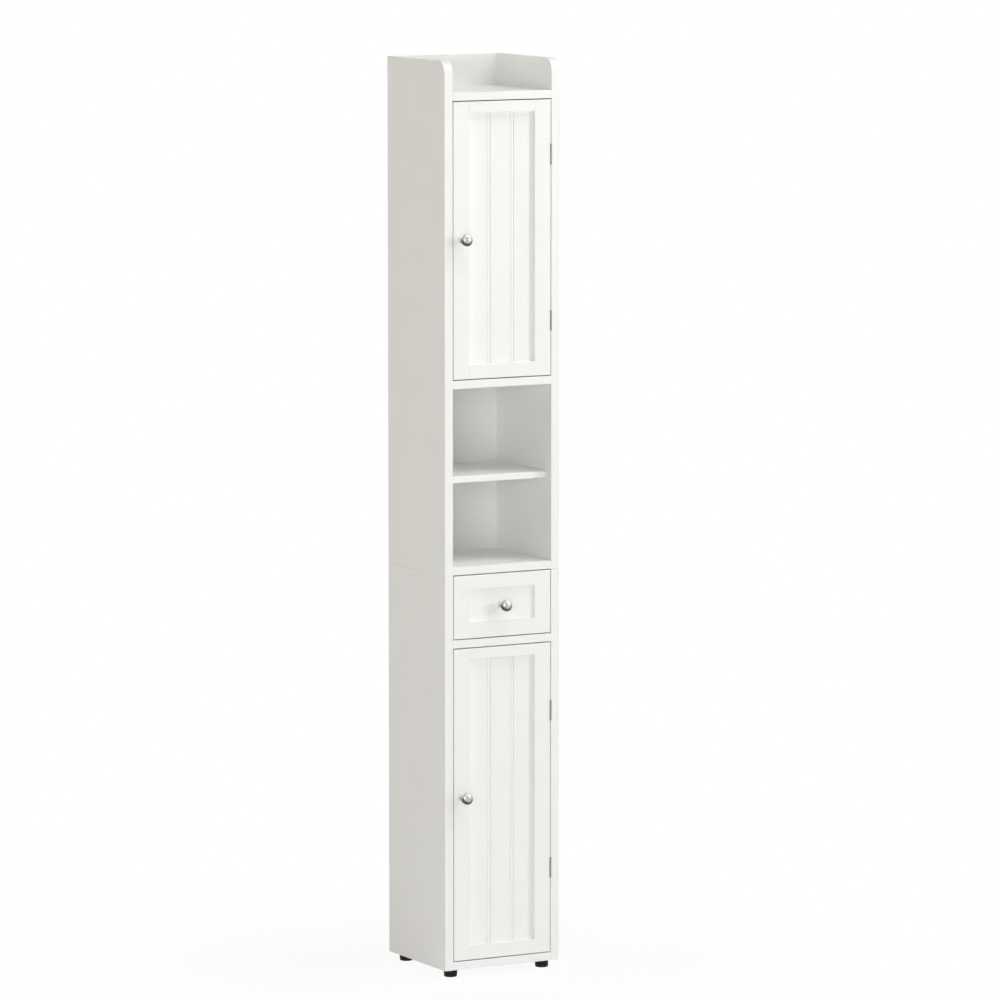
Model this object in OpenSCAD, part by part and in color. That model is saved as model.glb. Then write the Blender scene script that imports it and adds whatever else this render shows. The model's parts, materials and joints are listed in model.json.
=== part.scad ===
// Tall, narrow bathroom storage cabinet that stands in two stacked carcasses.
// From the floor up: a cupboard, a drawer, an open niche with a shelf, a second
// cupboard and an open tray. X runs across the front, +Y to the rear, +Z up.
// Lengths are millimetres. The origin is at the centre of the overall box, on the floor.

/* [Carcass] */
// Overall width, over the side boards
cabinet_w = 255; // [230:1:330]
// Depth of the side boards, front edge to rear edge
cabinet_d = 236; // [215:1:320]
// Overall height, floor to the top of the side boards
cabinet_h = 1800; // [1640:10:2200]
// Thickness of the side boards
side_t = 18; // [16:1:22]
// Thickness of the fixed boards between the sides
board_t = 16; // [15:1:20]
// Thickness of the back panels
back_t = 3; // [2.5:0.5:5]
// Distance from the rear edge of a side board to the back panel
back_inset = 10; // [9:1:20]
// Radius at the top front corner of the side boards
corner_r = 25; // [5:1:50]
// Radius that eases the front edges of the boards
edge_r = 0.8; // [0.3:0.1:2]

/* [Openings] */
// Height of the lower cupboard's opening
lower_open_h = 622; // [520:1:720]
// Height of the drawer's opening
drawer_open_h = 128; // [116:1:160]
// Height of the open niche
niche_h = 349; // [250:1:450]
// Depth of the open tray on top
tray_h = 62; // [30:1:100]
// Gap around each door and the drawer front
door_gap = 2; // [1.6:0.1:3]

/* [Shelves] */
// Thickness of the loose shelves
shelf_t = 13; // [12:1:18]
// Gap between a loose shelf and each side board
shelf_gap = 0.5; // [0.2:0.1:1]
// Height of the niche shelf's underside above the niche floor
niche_shelf_up = 162; // [100:1:220]
// How far the niche shelf stands back from the front
niche_setback = 22; // [5:1:60]
// How far the cupboard shelves stand back from the front
cupboard_setback = 36; // [30:1:80]
// Radius of a shelf pin
pin_hole_r = 2.5; // [2:0.1:3]
// Spacing of the pin holes in the cupboards
pin_pitch = 32; // [25:1:40]

/* [Doors] */
// Thickness of the door frames and of the drawer front
door_t = 18; // [16:1:20]
// Width of a door's upright frame members
stile_w = 35; // [31:1:45]
// Height of a door's top frame member
rail_top_h = 22; // [20:1:50]
// Height of a door's bottom frame member
rail_bottom_h = 28; // [20:1:60]
// Distance from the frame's front down to the door panel
panel_recess = 8.5; // [4:0.5:9]
// Thickness of the door panels
panel_t = 6; // [4:0.5:7]
// Depth of the groove that holds a panel
groove_d = 8; // [6:0.5:9]
// Distance from the panel's middle to each bead
bead_offset = 26; // [18:1:36]
// Width of a bead with the narrow channels beside it
bead_w = 7.6; // [6:0.2:10]
// Width of each narrow channel
quirk_w = 1.2; // [0.8:0.1:1.6]
// Depth of the channels
quirk_d = 1.8; // [1:0.1:2.2]

/* [Knobs] */
// Diameter of a knob's head
knob_d = 22; // [18:1:26]
// Length of a knob from its foot to its crown
knob_len = 30; // [26:1:34]
// Depth of a knob's head, from its underside to its crown
knob_head_t = 14; // [11:0.5:15]
// Distance from a door's free edge to the middle of its knob
knob_inset = 17; // [14:1:20]
// Height of the upper door's knob above the door's bottom edge
upper_knob_up = 272; // [150:1:350]
// Height of the lower door's knob above the door's bottom edge
lower_knob_up = 325; // [200:1:420]

/* [Hinges] */
// Length of a hinge
hinge_len = 40; // [36:1:60]
// Thickness of a hinge leaf
leaf_t = 0.9; // [0.7:0.1:1.2]
// Width of a leaf, from the front of the door
leaf_w = 15; // [13:0.5:16]
// Space between the two leaves of a closed hinge
leaf_gap = 0.8; // [0.6:0.1:1]
// Radius of a hinge's knuckles
knuckle_r = 1.7; // [1.5:0.1:2.8]
// Radius of a hinge pin
pin_r = 0.8; // [0.6:0.1:1]
// Space around the pin inside the knuckles
pin_play = 0.05; // [0.02:0.01:0.1]
// Number of knuckles along a hinge
knuckles = 5; // [3:2:7]
// Distance from the upper door's ends to the middle of its hinges
upper_hinge_in = 107; // [60:1:150]
// Distance from the lower door's top to the middle of its upper hinge
lower_hinge_top_in = 135; // [60:1:200]
// Distance from the lower door's bottom to the middle of its lower hinge
lower_hinge_bottom_in = 169; // [60:1:200]

/* [Drawer] */
// Thickness of the drawer's sides and back
drawer_wall_t = 12; // [10:1:14]
// Length of the drawer box behind the front
drawer_len = 180; // [150:1:190]
// Height of the drawer box
drawer_box_h = 98; // [90:1:100]
// Height of the drawer box above the board under it
drawer_lift = 9; // [5:1:12]
// Depth of the sunk field in the drawer front
field_recess = 5.5; // [3:0.5:7]
// Height of the drawer front above its sunk field
field_top_in = 28; // [20:1:40]
// Height of the drawer front below its sunk field
field_bottom_in = 32; // [20:1:40]
// Thickness of the drawer bottom
drawer_bottom_t = 3; // [2.5:0.5:4]
// Height of a runner strip
runner_h = 12; // [10:0.5:14]
// How far a runner strip stands out from the side board
runner_out = 8; // [7:0.5:9]

/* [Feet] */
// Height of the feet
foot_h = 16; // [10:1:30]
// Diameter of a foot
foot_d = 27; // [20:1:34]
// Distance from the outer faces to the middle of a foot
foot_inset = 25; // [23:1:40]

/* [Fixings] */
// Radius of a cam lock in the fixed boards
cam_r = 7.5; // [6:0.25:8]
// Distance from a board's end to the middle of its cam lock
cam_in = 24; // [20:1:34]
// Distance from the front to the front cam locks
cam_front_in = 45; // [35:1:70]
// Distance from the rear edge to the rear cam locks
cam_rear_in = 56; // [45:1:80]
// Radius of a dowel
dowel_r = 4; // [3:0.5:4]
// Length of a dowel
dowel_len = 30; // [25:1:35]
// Length of the screws in the hinges, catches, runners and joining plates
screw_len = 15; // [13:1:15]
// Radius of a screw's shank
screw_r = 1.6; // [1.25:0.05:1.75]
// Radius of a screw's head
screw_head_r = 2.9; // [2.5:0.1:3.2]
// Spacing of the two wall-fixing holes
wall_hole_pitch = 120; // [80:1:160]
// Radius of the wall-fixing holes
wall_hole_r = 2.75; // [2:0.05:3.5]
// Diameter of the bumpers on the rear edges
bumper_d = 14; // [8:1:16]
// How far the bumpers stand out to the rear
bumper_out = 4; // [2:0.5:6]

/* [Hidden] */
$fn = 64;

// Colours
paint = "white";
inner_paint = "whitesmoke";
nickel = [0.72, 0.71, 0.68];
steel = [0.62, 0.63, 0.65];
dark_plastic = [0.09, 0.09, 0.1];
pale_plastic = [0.9, 0.9, 0.88];
magnet_grey = [0.3, 0.3, 0.32];
beech = [0.86, 0.7, 0.5];

// Small working values
past = 1;            // how far a cut runs past a face
slip = 0.1;          // space around a panel, tongue or tenon in its groove
fit = 0.05;          // space around a screw, pin, dowel or cam in its hole
pilot_end = 0.5;     // space past the end of a screw, pin or dowel
lap_room = 0.5;      // space left at the bottom of a groove
cam_over = 0.9;      // how far a cam lock reaches past its bolt's head
thin_cam_over = 0.2; // the same in the drawer's thinner walls

// Heights of the fixed boards' undersides
base_z = foot_h;
lower_open_z = base_z + board_t;
divider_z = lower_open_z + lower_open_h;
drawer_open_z = divider_z + board_t;
joint_z = drawer_open_z + drawer_open_h;
niche_z = joint_z + board_t;
upper_floor_z = niche_z + niche_h;
upper_open_z = upper_floor_z + board_t;
top_panel_z = cabinet_h - tray_h - board_t;
upper_open_h = top_panel_z - upper_open_z;

// Plan positions, measured from the middle and from the front plane
in_x = cabinet_w / 2 - side_t;
back_y = cabinet_d - back_inset - back_t;
front_y = (knob_len - cabinet_d - bumper_out) / 2;
side_mid_x = in_x + side_t / 2;

// Doors
door_w = 2 * (in_x - door_gap);
door_x = in_x - door_gap;
upper_door_z = upper_open_z + door_gap;
upper_door_h = upper_open_h - 2 * door_gap;
lower_door_z = lower_open_z + door_gap;
lower_door_h = lower_open_h - 2 * door_gap;
panel_room = 1;
panel_lap = groove_d - panel_room;
field_w = door_w - 2 * stile_w;
bead_h_r = (pow(quirk_d, 2) + pow(bead_w / 2 - quirk_w, 2)) / (2 * quirk_d);

// Hinges: the pin stands in the middle of the gap, on the front plane
pin_x = in_x - door_gap / 2;
mortise_d = leaf_t + leaf_gap / 2 - door_gap / 2;
knuckle_room = 0.4;
knuckle_h = hinge_len / knuckles;
knuckle_end_gap = 0.1;
leaf_screw_across = 0.55;
leaf_screw_along = 0.3;
leaf_screw_y = knuckle_r + (leaf_w - knuckle_r) * leaf_screw_across;
leaf_screw_up = hinge_len * leaf_screw_along;
web_gap = 0.2;
upper_hinges = [upper_door_z + upper_hinge_in, upper_door_z + upper_door_h - upper_hinge_in];
lower_hinges = [lower_door_z + lower_hinge_bottom_in,
                lower_door_z + lower_door_h - lower_hinge_top_in];

// Knob profile
knob_x = -door_x + knob_inset;
rose_r = 6.5;
rose_t = 1.6;
stem_r = 4.2;
rim_r = 4;
rim_x = knob_d / 2 - rim_r;
crown_up = 5.5;
rim_z = knob_len - crown_up;
head_z = knob_len - knob_head_t;
flare_r = min(2.5, rim_x - stem_r);
dome_r = (pow(rim_x, 2) + pow(crown_up, 2) - pow(rim_r, 2)) / (2 * (crown_up - rim_r));
knob_screw_r = 2;
knob_screw_in = 11;
knob_screw_head_r = 4;
knob_screw_head_h = 2.4;

// Magnetic catches, on the left side board behind each door
catch_out = 14;
catch_d = 15;
catch_h = 34;
catch_ear_h = 9;
catch_ear_t = 3;
strike_t = 1.2;
strike_w = 9;
strike_h = 36;
catch_play = 0.3;
catch_y = door_t + strike_t + catch_play;
magnet = [9, 11, 26];
magnet_proud = 0.2;
catch_mid_x = -in_x + catch_out / 2;
catch_drop = 90;
upper_catch_z = upper_door_z + upper_door_h / 2 - catch_drop;
lower_catch_z = lower_door_z + lower_door_h / 2 - catch_drop;

// Loose shelves
upper_shelf_z = upper_open_z + (upper_open_h - shelf_t) / 2;
lower_shelf_z = lower_open_z + (lower_open_h - shelf_t) / 2;
niche_shelf_z = niche_z + niche_shelf_up;
pin_in = 9;
pin_ledge = [8, 9, 5];
pin_front_in = 60;
pin_rear_in = 62;
pin_ys = [pin_front_in, cabinet_d - pin_rear_in];
pin_z_drop = pin_hole_r;
pin_edge_in = 0.4;

// Fixings in the carcass
cam_ys = [cam_front_in, cabinet_d - cam_rear_in];
dowel_y = (cam_ys[0] + cam_ys[1]) / 2;
joint_dowel_ahead = 17;
joint_dowel_behind = 20;
joint_dowel_ys = [cam_front_in - joint_dowel_ahead, cabinet_d - cam_rear_in + joint_dowel_behind];
dowel_in_side = 10;
bolt_head_r = 3.3;
bolt_head_h = 3;
cam_h = board_t / 2 + bolt_head_r + cam_over;
cross_share = 1.1;
cross_w = 1.4;
cross_d = 1.2;
bolt_r = 2.4;
bolt_thread_r = 2.5;
bolt_thread_in = 11;
back_groove_d = 6;
back_lap = back_groove_d - lap_room;
upper_levels = [joint_z, upper_floor_z, top_panel_z];
lower_levels = [base_z, divider_z];

// Wall rail under the top panel
rail_h = 60;
rail_t = 16;
rail_y = back_y - rail_t;
wall_hole_z = top_panel_z - rail_h / 2;
rail_dowel_drops = [15, 45];

// Joining plates behind the back panels, and the bumpers on the rear edges
plate_t = 1.5;
plate_w = 8;
plate_h = 60;
plate_screw_up = 20;
plate_edge_in = 1;
plate_y = cabinet_d - plate_edge_in - plate_w / 2;
bumper_up = 1.5;
bumper_z = joint_z + board_t / 2 + bumper_up;
bumper_dome_r = (pow(bumper_d / 2, 2) + pow(bumper_out, 2)) / (2 * bumper_out);
bumper_stem_r = 2.5;
bumper_stem_len = 10;

// Drawer
drawer_front_z = drawer_open_z + door_gap;
drawer_front_h = drawer_open_h - 2 * door_gap;
drawer_box_z = drawer_open_z + drawer_lift;
runner_slip = 0.5;
runner_rest = 0.3;
drawer_side_gap = 3;
drawer_out_x = in_x - drawer_side_gap;
drawer_in_x = drawer_out_x - drawer_wall_t;
runner_slot_d = runner_out - drawer_side_gap + runner_slip;
runner_mid_z = drawer_box_z + drawer_box_h / 2;
runner_front_gap = 8;
runner_rear_gap = 10;
runner_y = door_t + runner_front_gap;
runner_len = back_y - runner_y - runner_rear_gap;
runner_screw_in = 30;
drawer_end_y = door_t + drawer_len;
bottom_groove_d = 5;
bottom_up = 8;
drawer_cam_r = 6;
drawer_cam_h = drawer_wall_t / 2 + bolt_head_r + thin_cam_over;
drawer_cam_in = 18;
drawer_cam_up = 21;
drawer_top_in = 18;
drawer_cam_zs = [drawer_box_z + drawer_cam_up, drawer_box_z + drawer_box_h - drawer_top_in];
drawer_screw_len = 30;
drawer_screw_up = 24;
drawer_screw_zs = [drawer_box_z + drawer_screw_up, drawer_box_z + drawer_box_h - drawer_top_in];
drawer_knob_z = drawer_front_z + drawer_front_h / 2;

// Feet
foot_bevel = 2;
foot_screw_len = 24;
foot_screw_z = 5;
foot_bore_r = 4.5;
foot_xs = [-cabinet_w / 2 + foot_inset, cabinet_w / 2 - foot_inset];
foot_ys = [foot_inset, cabinet_d - foot_inset];

// Screws of each group, as [position, turn]; a screw points along its own +Z
function leaf_screws(zs, x, turn) =
    [for (z = zs, s = [-1, 1]) [[x, leaf_screw_y, z + s * leaf_screw_up], turn]];
frame_leaf_x = pin_x + leaf_gap / 2;
door_leaf_x = pin_x - leaf_gap / 2;
function catch_screws(z) =
    [for (s = [-1, 1]) [[-in_x + catch_ear_t, catch_y + catch_d / 2,
                         z + s * (catch_h + catch_ear_h) / 2], [0, -90, 0]]];
function strike_screw(z) = [[[catch_mid_x, door_t + strike_t, z], [90, 0, 0]]];
function plate_screws(s, up) =
    [[[s * (in_x - plate_t), plate_y, joint_z + up * plate_screw_up], [0, s * 90, 0]]];
function runner_screws(s) =
    [for (y = [runner_y + runner_screw_in, runner_y + runner_len - runner_screw_in])
        [[s * (in_x - runner_out), y, runner_mid_z], [0, s * 90, 0]]];
upper_right_screws = concat(leaf_screws(upper_hinges, frame_leaf_x, [0, 90, 0]),
                            plate_screws(1, 1));
upper_left_screws = concat(catch_screws(upper_catch_z), plate_screws(-1, 1));
lower_right_screws = concat(leaf_screws(lower_hinges, frame_leaf_x, [0, 90, 0]),
                            plate_screws(1, -1), runner_screws(1));
lower_left_screws = concat(catch_screws(lower_catch_z), plate_screws(-1, -1),
                           runner_screws(-1));
upper_door_screw_list = concat(leaf_screws(upper_hinges, door_leaf_x, [0, -90, 0]),
                               strike_screw(upper_catch_z));
lower_door_screw_list = concat(leaf_screws(lower_hinges, door_leaf_x, [0, -90, 0]),
                               strike_screw(lower_catch_z));
drawer_screw_list =
    [for (s = [-1, 1], z = drawer_screw_zs)
        [[s * drawer_out_x, drawer_end_y - drawer_wall_t / 2, z], [0, -s * 90, 0]]];
foot_screw_list = [for (x = foot_xs, y = foot_ys) [[x, y, foot_screw_z], [0, 0, 0]]];

// Dowels that lie across the cabinet, as [depth, height] of their axis
function board_dowels(levels) = [for (z = levels) [dowel_y, z + board_t / 2]];
rail_dowels = [for (drop = rail_dowel_drops) [rail_y + rail_t / 2, top_panel_z - drop]];
upper_cross_dowels = concat(board_dowels(upper_levels), rail_dowels);
lower_cross_dowels = board_dowels(lower_levels);

// Moves a piece from the front plane to the origin's frame
module set_in() {
    translate([0, front_y, 0]) children();
}

// Extrudes a side view, drawn as depth and height, across the cabinet
module across(x, len) {
    translate([x, 0, 0]) rotate([90, 0, 90]) linear_extrude(len) children();
}

// Extrudes a plan view upwards
module upright(z, len) {
    translate([0, 0, z]) linear_extrude(len) children();
}

// Rectangle with both corners of its front edge eased; the front lies along y = 0
module eased_plan(w, d, r = edge_r) {
    translate([0, r]) square([w, d - r]);
    translate([r, 0]) square([w - 2 * r, r]);
    for (x = [r, w - r]) translate([x, r]) circle(r);
}

// The same rectangle lying on its side, with the front along x = 0
module eased_edge(d, t, r = edge_r) {
    translate([r, 0]) square([d - r, t]);
    translate([0, r]) square([r, t - 2 * r]);
    for (y = [r, t - r]) translate([r, y]) circle(r);
}

// Countersunk screw, or its hole when it is grown
module screw(len, grow = 0) {
    head_h = screw_head_r - screw_r;
    tip = len + (grow > 0 ? pilot_end : 0);
    rotate_extrude() polygon([
        [0, 0], [screw_head_r + grow, 0], [screw_r + grow, head_h],
        [screw_r + grow, tip], [0, tip]
    ]);
}

module screws(list, len = screw_len, grow = 0) {
    for (s = list) translate(s[0]) rotate(s[1]) screw(len, grow);
}

// Round bar along X, from x over len towards the side that s gives
module bar_x(x, y, z, r, len, s) {
    translate([x, y, z]) rotate([0, s * 90, 0]) cylinder(r = r, h = len);
}

// Holes for the cross dowels in one side board
module side_dowel_holes(list) {
    for (d = list)
        bar_x(in_x - past, d[0], d[1], dowel_r + fit, past + dowel_in_side + pilot_end, 1);
}

// Holes for the same dowels in both ends of a board
module end_dowel_holes(list) {
    for (s = [-1, 1], d = list)
        bar_x(s * (in_x + past), d[0], d[1], dowel_r + fit,
              past + dowel_len - dowel_in_side + pilot_end, -s);
}

// Threaded holes for the cam bolts in one side board
module side_bolt_holes(levels) {
    for (z = levels, y = cam_ys)
        bar_x(in_x - past, y, z + board_t / 2, bolt_thread_r + fit,
              past + bolt_thread_in + pilot_end, 1);
}

// Row of pin holes in one side board
module pin_holes(zs) {
    for (z = zs, y = pin_ys)
        bar_x(in_x - past, y, z, pin_hole_r + fit, past + pin_in + pilot_end, 1);
}

function pin_row(shelf_z, count) =
    [for (i = [0 : count - 1]) shelf_z - pin_z_drop + (i - (count - 1) / 2) * pin_pitch];

// Groove for the back panel in one side board
module back_groove(z, len) {
    translate([in_x - past, back_y - slip, z - past])
        cube([past + back_groove_d, back_t + 2 * slip, len + 2 * past]);
}

// Right-hand side board, plain, from z over len
module side_blank(z, len) {
    upright(z, len) translate([in_x, 0]) eased_plan(side_t, cabinet_d);
}

// Seats for the hinges' leaves and room for their knuckles; s is the side they lie on
module hinge_seats(zs, x, s) {
    for (z = zs) {
        translate([x - (s < 0 ? mortise_d : past), -past, z - hinge_len / 2])
            cube([mortise_d + past, leaf_w + past, hinge_len]);
        translate([pin_x, 0, z - hinge_len / 2])
            cylinder(r = knuckle_r + knuckle_room, h = hinge_len);
    }
}

// Dowels that stand between the lower and upper side boards
module joint_dowels(grow = 0) {
    end_room = grow > 0 ? pilot_end : 0;
    for (s = [-1, 1], y = joint_dowel_ys)
        translate([s * side_mid_x, y, joint_z - dowel_len / 2 - end_room])
            cylinder(r = dowel_r + grow, h = dowel_len + 2 * end_room);
}

// Holes in the rear edge for the bumpers' stems
module bumper_holes() {
    translate([side_mid_x, cabinet_d + past, bumper_z]) rotate([90, 0, 0])
        cylinder(r = bumper_stem_r + fit, h = past + bumper_stem_len + pilot_end);
}

module upper_side_blank() {
    difference() {
        intersection() {
            side_blank(joint_z, cabinet_h - joint_z);
            across(in_x - past, side_t + 2 * past) {
                translate([0, joint_z]) square([cabinet_d, cabinet_h - corner_r - joint_z]);
                translate([corner_r, joint_z]) square([cabinet_d - corner_r, cabinet_h - joint_z]);
                translate([corner_r, cabinet_h - corner_r]) circle(corner_r);
            }
        }
        back_groove(joint_z, cabinet_h - joint_z);
        side_bolt_holes(upper_levels);
        side_dowel_holes(upper_cross_dowels);
        pin_holes(pin_row(niche_shelf_z, 1));
        pin_holes(pin_row(upper_shelf_z, 3));
        joint_dowels(fit);
        bumper_holes();
    }
}

module lower_side_blank() {
    difference() {
        side_blank(base_z, joint_z - base_z);
        back_groove(base_z, joint_z - base_z);
        side_bolt_holes(lower_levels);
        side_dowel_holes(lower_cross_dowels);
        pin_holes(pin_row(lower_shelf_z, 3));
        joint_dowels(fit);
    }
}

module upper_side_right() {
    color(paint) set_in() difference() {
        upper_side_blank();
        hinge_seats(upper_hinges, in_x, 1);
        screws(upper_right_screws, screw_len, fit);
    }
}

module upper_side_left() {
    color(paint) set_in() difference() {
        mirror([1, 0, 0]) upper_side_blank();
        screws(upper_left_screws, screw_len, fit);
    }
}

module lower_side_right() {
    color(paint) set_in() difference() {
        lower_side_blank();
        hinge_seats(lower_hinges, in_x, 1);
        screws(lower_right_screws, screw_len, fit);
    }
}

module lower_side_left() {
    color(paint) set_in() difference() {
        mirror([1, 0, 0]) lower_side_blank();
        screws(lower_left_screws, screw_len, fit);
    }
}

// Places something at each cam lock of the board at z; up is 1 where the cam is let
// in from above and 0 from below. The child's +X points to the nearer side board.
module at_cams(z, up) {
    for (s = [-1, 1], y = cam_ys)
        translate([s * (in_x - cam_in), y, z + up * board_t])
            mirror([s < 0 ? 1 : 0, 0, 0]) mirror([0, 0, up]) children();
}

// Fixed board between the side boards, with its cam pockets and end holes
module fixed_board(z, cams_up) {
    difference() {
        across(-in_x, 2 * in_x) translate([0, z]) eased_edge(back_y, board_t);
        at_cams(z, cams_up) {
            translate([0, 0, -past]) cylinder(r = cam_r + fit, h = cam_h + past + 2 * slip);
            translate([0, 0, board_t / 2]) rotate([0, 90, 0])
                cylinder(r = bolt_head_r + slip, h = cam_in + past);
        }
        end_dowel_holes(board_dowels([z]));
    }
}

module top_panel() {
    color(paint) set_in() fixed_board(top_panel_z, 0);
}

module upper_cupboard_floor() {
    color(paint) set_in() fixed_board(upper_floor_z, 1);
}

module niche_floor() {
    color(paint) set_in() fixed_board(joint_z, 0);
}

module drawer_divider() {
    color(paint) set_in() fixed_board(divider_z, 0);
}

module base_panel() {
    color(paint) set_in() difference() {
        fixed_board(base_z, 0);
        screws(foot_screw_list, foot_screw_len, fit);
    }
}

// Loose shelf that rests on four pins; its front edge is eased twice as much
module loose_shelf(z, setback) {
    across(-in_x + shelf_gap, 2 * (in_x - shelf_gap))
        translate([setback, z]) eased_edge(back_y - setback - shelf_gap, shelf_t, 2 * edge_r);
}

module niche_shelf() {
    color(paint) set_in() loose_shelf(niche_shelf_z, niche_setback);
}

module upper_cupboard_shelf() {
    color(paint) set_in() loose_shelf(upper_shelf_z, cupboard_setback);
}

module lower_cupboard_shelf() {
    color(paint) set_in() loose_shelf(lower_shelf_z, cupboard_setback);
}

// Pin with a flat ledge; its peg points to the side board, along +X
module shelf_pin() {
    rotate([0, 90, 0]) cylinder(r = pin_hole_r, h = pin_in);
    translate([-pin_ledge[0] + pin_edge_in, -pin_ledge[1] / 2, pin_z_drop - pin_ledge[2]])
        cube(pin_ledge);
}

module shelf_pins() {
    color(steel) set_in()
        for (z = [niche_shelf_z, upper_shelf_z, lower_shelf_z], y = pin_ys, s = [0, 1])
            mirror([s, 0, 0]) translate([in_x - pin_edge_in, y, z - pin_z_drop]) shelf_pin();
}

module back_sheet(z, len) {
    translate([-in_x - back_lap, back_y, z]) cube([2 * (in_x + back_lap), back_t, len]);
}

// The two holes for fixing the cabinet to a wall
module wall_holes() {
    for (s = [-1, 1])
        translate([s * wall_hole_pitch / 2, rail_y - past, wall_hole_z]) rotate([-90, 0, 0])
            cylinder(r = wall_hole_r, h = rail_t + back_t + 2 * past);
}

module upper_back_panel() {
    color(inner_paint) set_in() difference() {
        back_sheet(joint_z, cabinet_h - joint_z);
        wall_holes();
    }
}

module lower_back_panel() {
    color(inner_paint) set_in() back_sheet(base_z, joint_z - base_z);
}

module wall_rail() {
    color(paint) set_in() difference() {
        translate([-in_x, rail_y, top_panel_z - rail_h]) cube([2 * in_x, rail_t, rail_h]);
        wall_holes();
        end_dowel_holes(rail_dowels);
    }
}

module dowels() {
    color(beech) set_in() {
        for (s = [-1, 1], d = concat(upper_cross_dowels, lower_cross_dowels))
            bar_x(s * (in_x + dowel_in_side), d[0], d[1], dowel_r, dowel_len, -s);
        joint_dowels();
    }
}

// Cam lock: a round body with a slot for the bolt's head and a cross on its face
module cam_lock(r, h, axis_z, head_r, shank_r) {
    cross_l = r * cross_share;
    difference() {
        cylinder(r = r, h = h);
        translate([-head_r, -head_r - slip, axis_z - head_r - slip])
            cube([2 * head_r + slip, 2 * (head_r + slip), 2 * (head_r + slip)]);
        translate([0, -shank_r - slip, axis_z - shank_r - slip])
            cube([r + past, 2 * (shank_r + slip), 2 * (shank_r + slip)]);
        for (a = [45, 135]) rotate(a) translate([-cross_l / 2, -cross_w / 2, -past])
            cube([cross_l, cross_w, past + cross_d]);
    }
}

module cam_locks() {
    color(steel) set_in() {
        for (z = [top_panel_z, joint_z, divider_z, base_z]) at_cams(z, 0)
            cam_lock(cam_r, cam_h, board_t / 2, bolt_head_r, bolt_r);
        at_cams(upper_floor_z, 1) cam_lock(cam_r, cam_h, board_t / 2, bolt_head_r, bolt_r);
    }
}

// Bolt that points along +X: head at the origin, thread past the board's end
module cam_bolt(reach, thread_in, head_r, shank_r, thread_r) {
    rotate([0, 90, 0]) {
        cylinder(r = head_r, h = bolt_head_h);
        cylinder(r = shank_r, h = reach);
        translate([0, 0, reach]) cylinder(r = thread_r, h = thread_in);
    }
}

module cam_bolts() {
    color(steel) set_in()
        for (z = concat(lower_levels, upper_levels)) at_cams(z, 0)
            translate([-bolt_head_h, 0, board_t / 2])
                cam_bolt(cam_in + bolt_head_h, bolt_thread_in, bolt_head_r, bolt_r, bolt_thread_r);
}

// Steel plate with round ends that ties an upper to a lower side board, on their
// inner faces behind the back panels
module joining_plates() {
    color(steel) set_in() for (s = [-1, 1]) difference() {
        translate([s * (in_x - plate_t), plate_y, joint_z]) rotate([0, s * 90, 0])
            linear_extrude(plate_t) {
                square([plate_h - plate_w, plate_w], center = true);
                for (e = [-1, 1]) translate([e * (plate_h - plate_w) / 2, 0]) circle(plate_w / 2);
            }
        for (up = [-1, 1]) screws(plate_screws(s, up), screw_len, fit);
    }
}

// Domed bumper with a stem that is pressed into the rear edge of a side board
module rear_bumpers() {
    color(pale_plastic) set_in() for (s = [-1, 1])
        translate([s * side_mid_x, cabinet_d, bumper_z]) rotate([-90, 0, 0]) {
            rotate_extrude() intersection() {
                translate([0, bumper_out - bumper_dome_r]) circle(bumper_dome_r);
                square([bumper_d, bumper_out]);
            }
            translate([0, 0, -bumper_stem_len]) cylinder(r = bumper_stem_r, h = bumper_stem_len);
        }
}

// Round glide with a bevelled sole and a sunk hole for its screw
module feet() {
    color(dark_plastic) set_in() for (x = foot_xs, y = foot_ys) translate([x, y, 0])
        difference() {
            rotate_extrude() polygon([
                [0, 0], [foot_d / 2 - foot_bevel, 0], [foot_d / 2 - foot_bevel / 4, foot_bevel],
                [foot_d / 2, foot_h - foot_bevel], [foot_d / 2 - foot_bevel / 4, foot_h],
                [0, foot_h]
            ]);
            translate([0, 0, -past]) cylinder(r = foot_bore_r, h = foot_screw_z + past);
            translate([0, 0, foot_screw_z]) screw(foot_screw_len, fit);
        }
}

module foot_screws() {
    color(steel) set_in() screws(foot_screw_list, foot_screw_len);
}

// One leaf of the hinge centred on z. Its plate lies on the side that s gives, with
// the knuckles that first and every second one after it name.
module hinge_leaf(z, s, first) {
    face = leaf_gap / 2;
    inner = pin_r + pin_play + web_gap;
    low = z - hinge_len / 2;
    difference() {
        union() {
            translate([pin_x + (s > 0 ? face : -face - leaf_t), knuckle_r + knuckle_room, low])
                cube([leaf_t, leaf_w - knuckle_r - knuckle_room, hinge_len]);
            for (i = [first : 2 : knuckles - 1]) translate([pin_x, 0, 0]) {
                below = low + i * knuckle_h + (i > 0 ? knuckle_end_gap : 0);
                above = low + (i + 1) * knuckle_h - (i < knuckles - 1 ? knuckle_end_gap : 0);
                translate([0, 0, below]) cylinder(r = knuckle_r, h = above - below);
                translate([s > 0 ? face : -face - leaf_t, inner, below])
                    cube([leaf_t, knuckle_r + knuckle_room - inner + slip, above - below]);
            }
        }
        translate([pin_x, 0, low - past]) cylinder(r = pin_r + pin_play, h = hinge_len + 2 * past);
        screws(leaf_screws([z], pin_x + s * face, [0, s * 90, 0]), screw_len, fit);
    }
}

module hinge_frame_leaves() {
    color(steel) set_in() for (z = concat(upper_hinges, lower_hinges)) hinge_leaf(z, 1, 0);
}

module hinge_pins() {
    color(steel) set_in() for (z = concat(upper_hinges, lower_hinges))
        translate([pin_x, 0, z - hinge_len / 2]) cylinder(r = pin_r, h = hinge_len);
}

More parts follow.
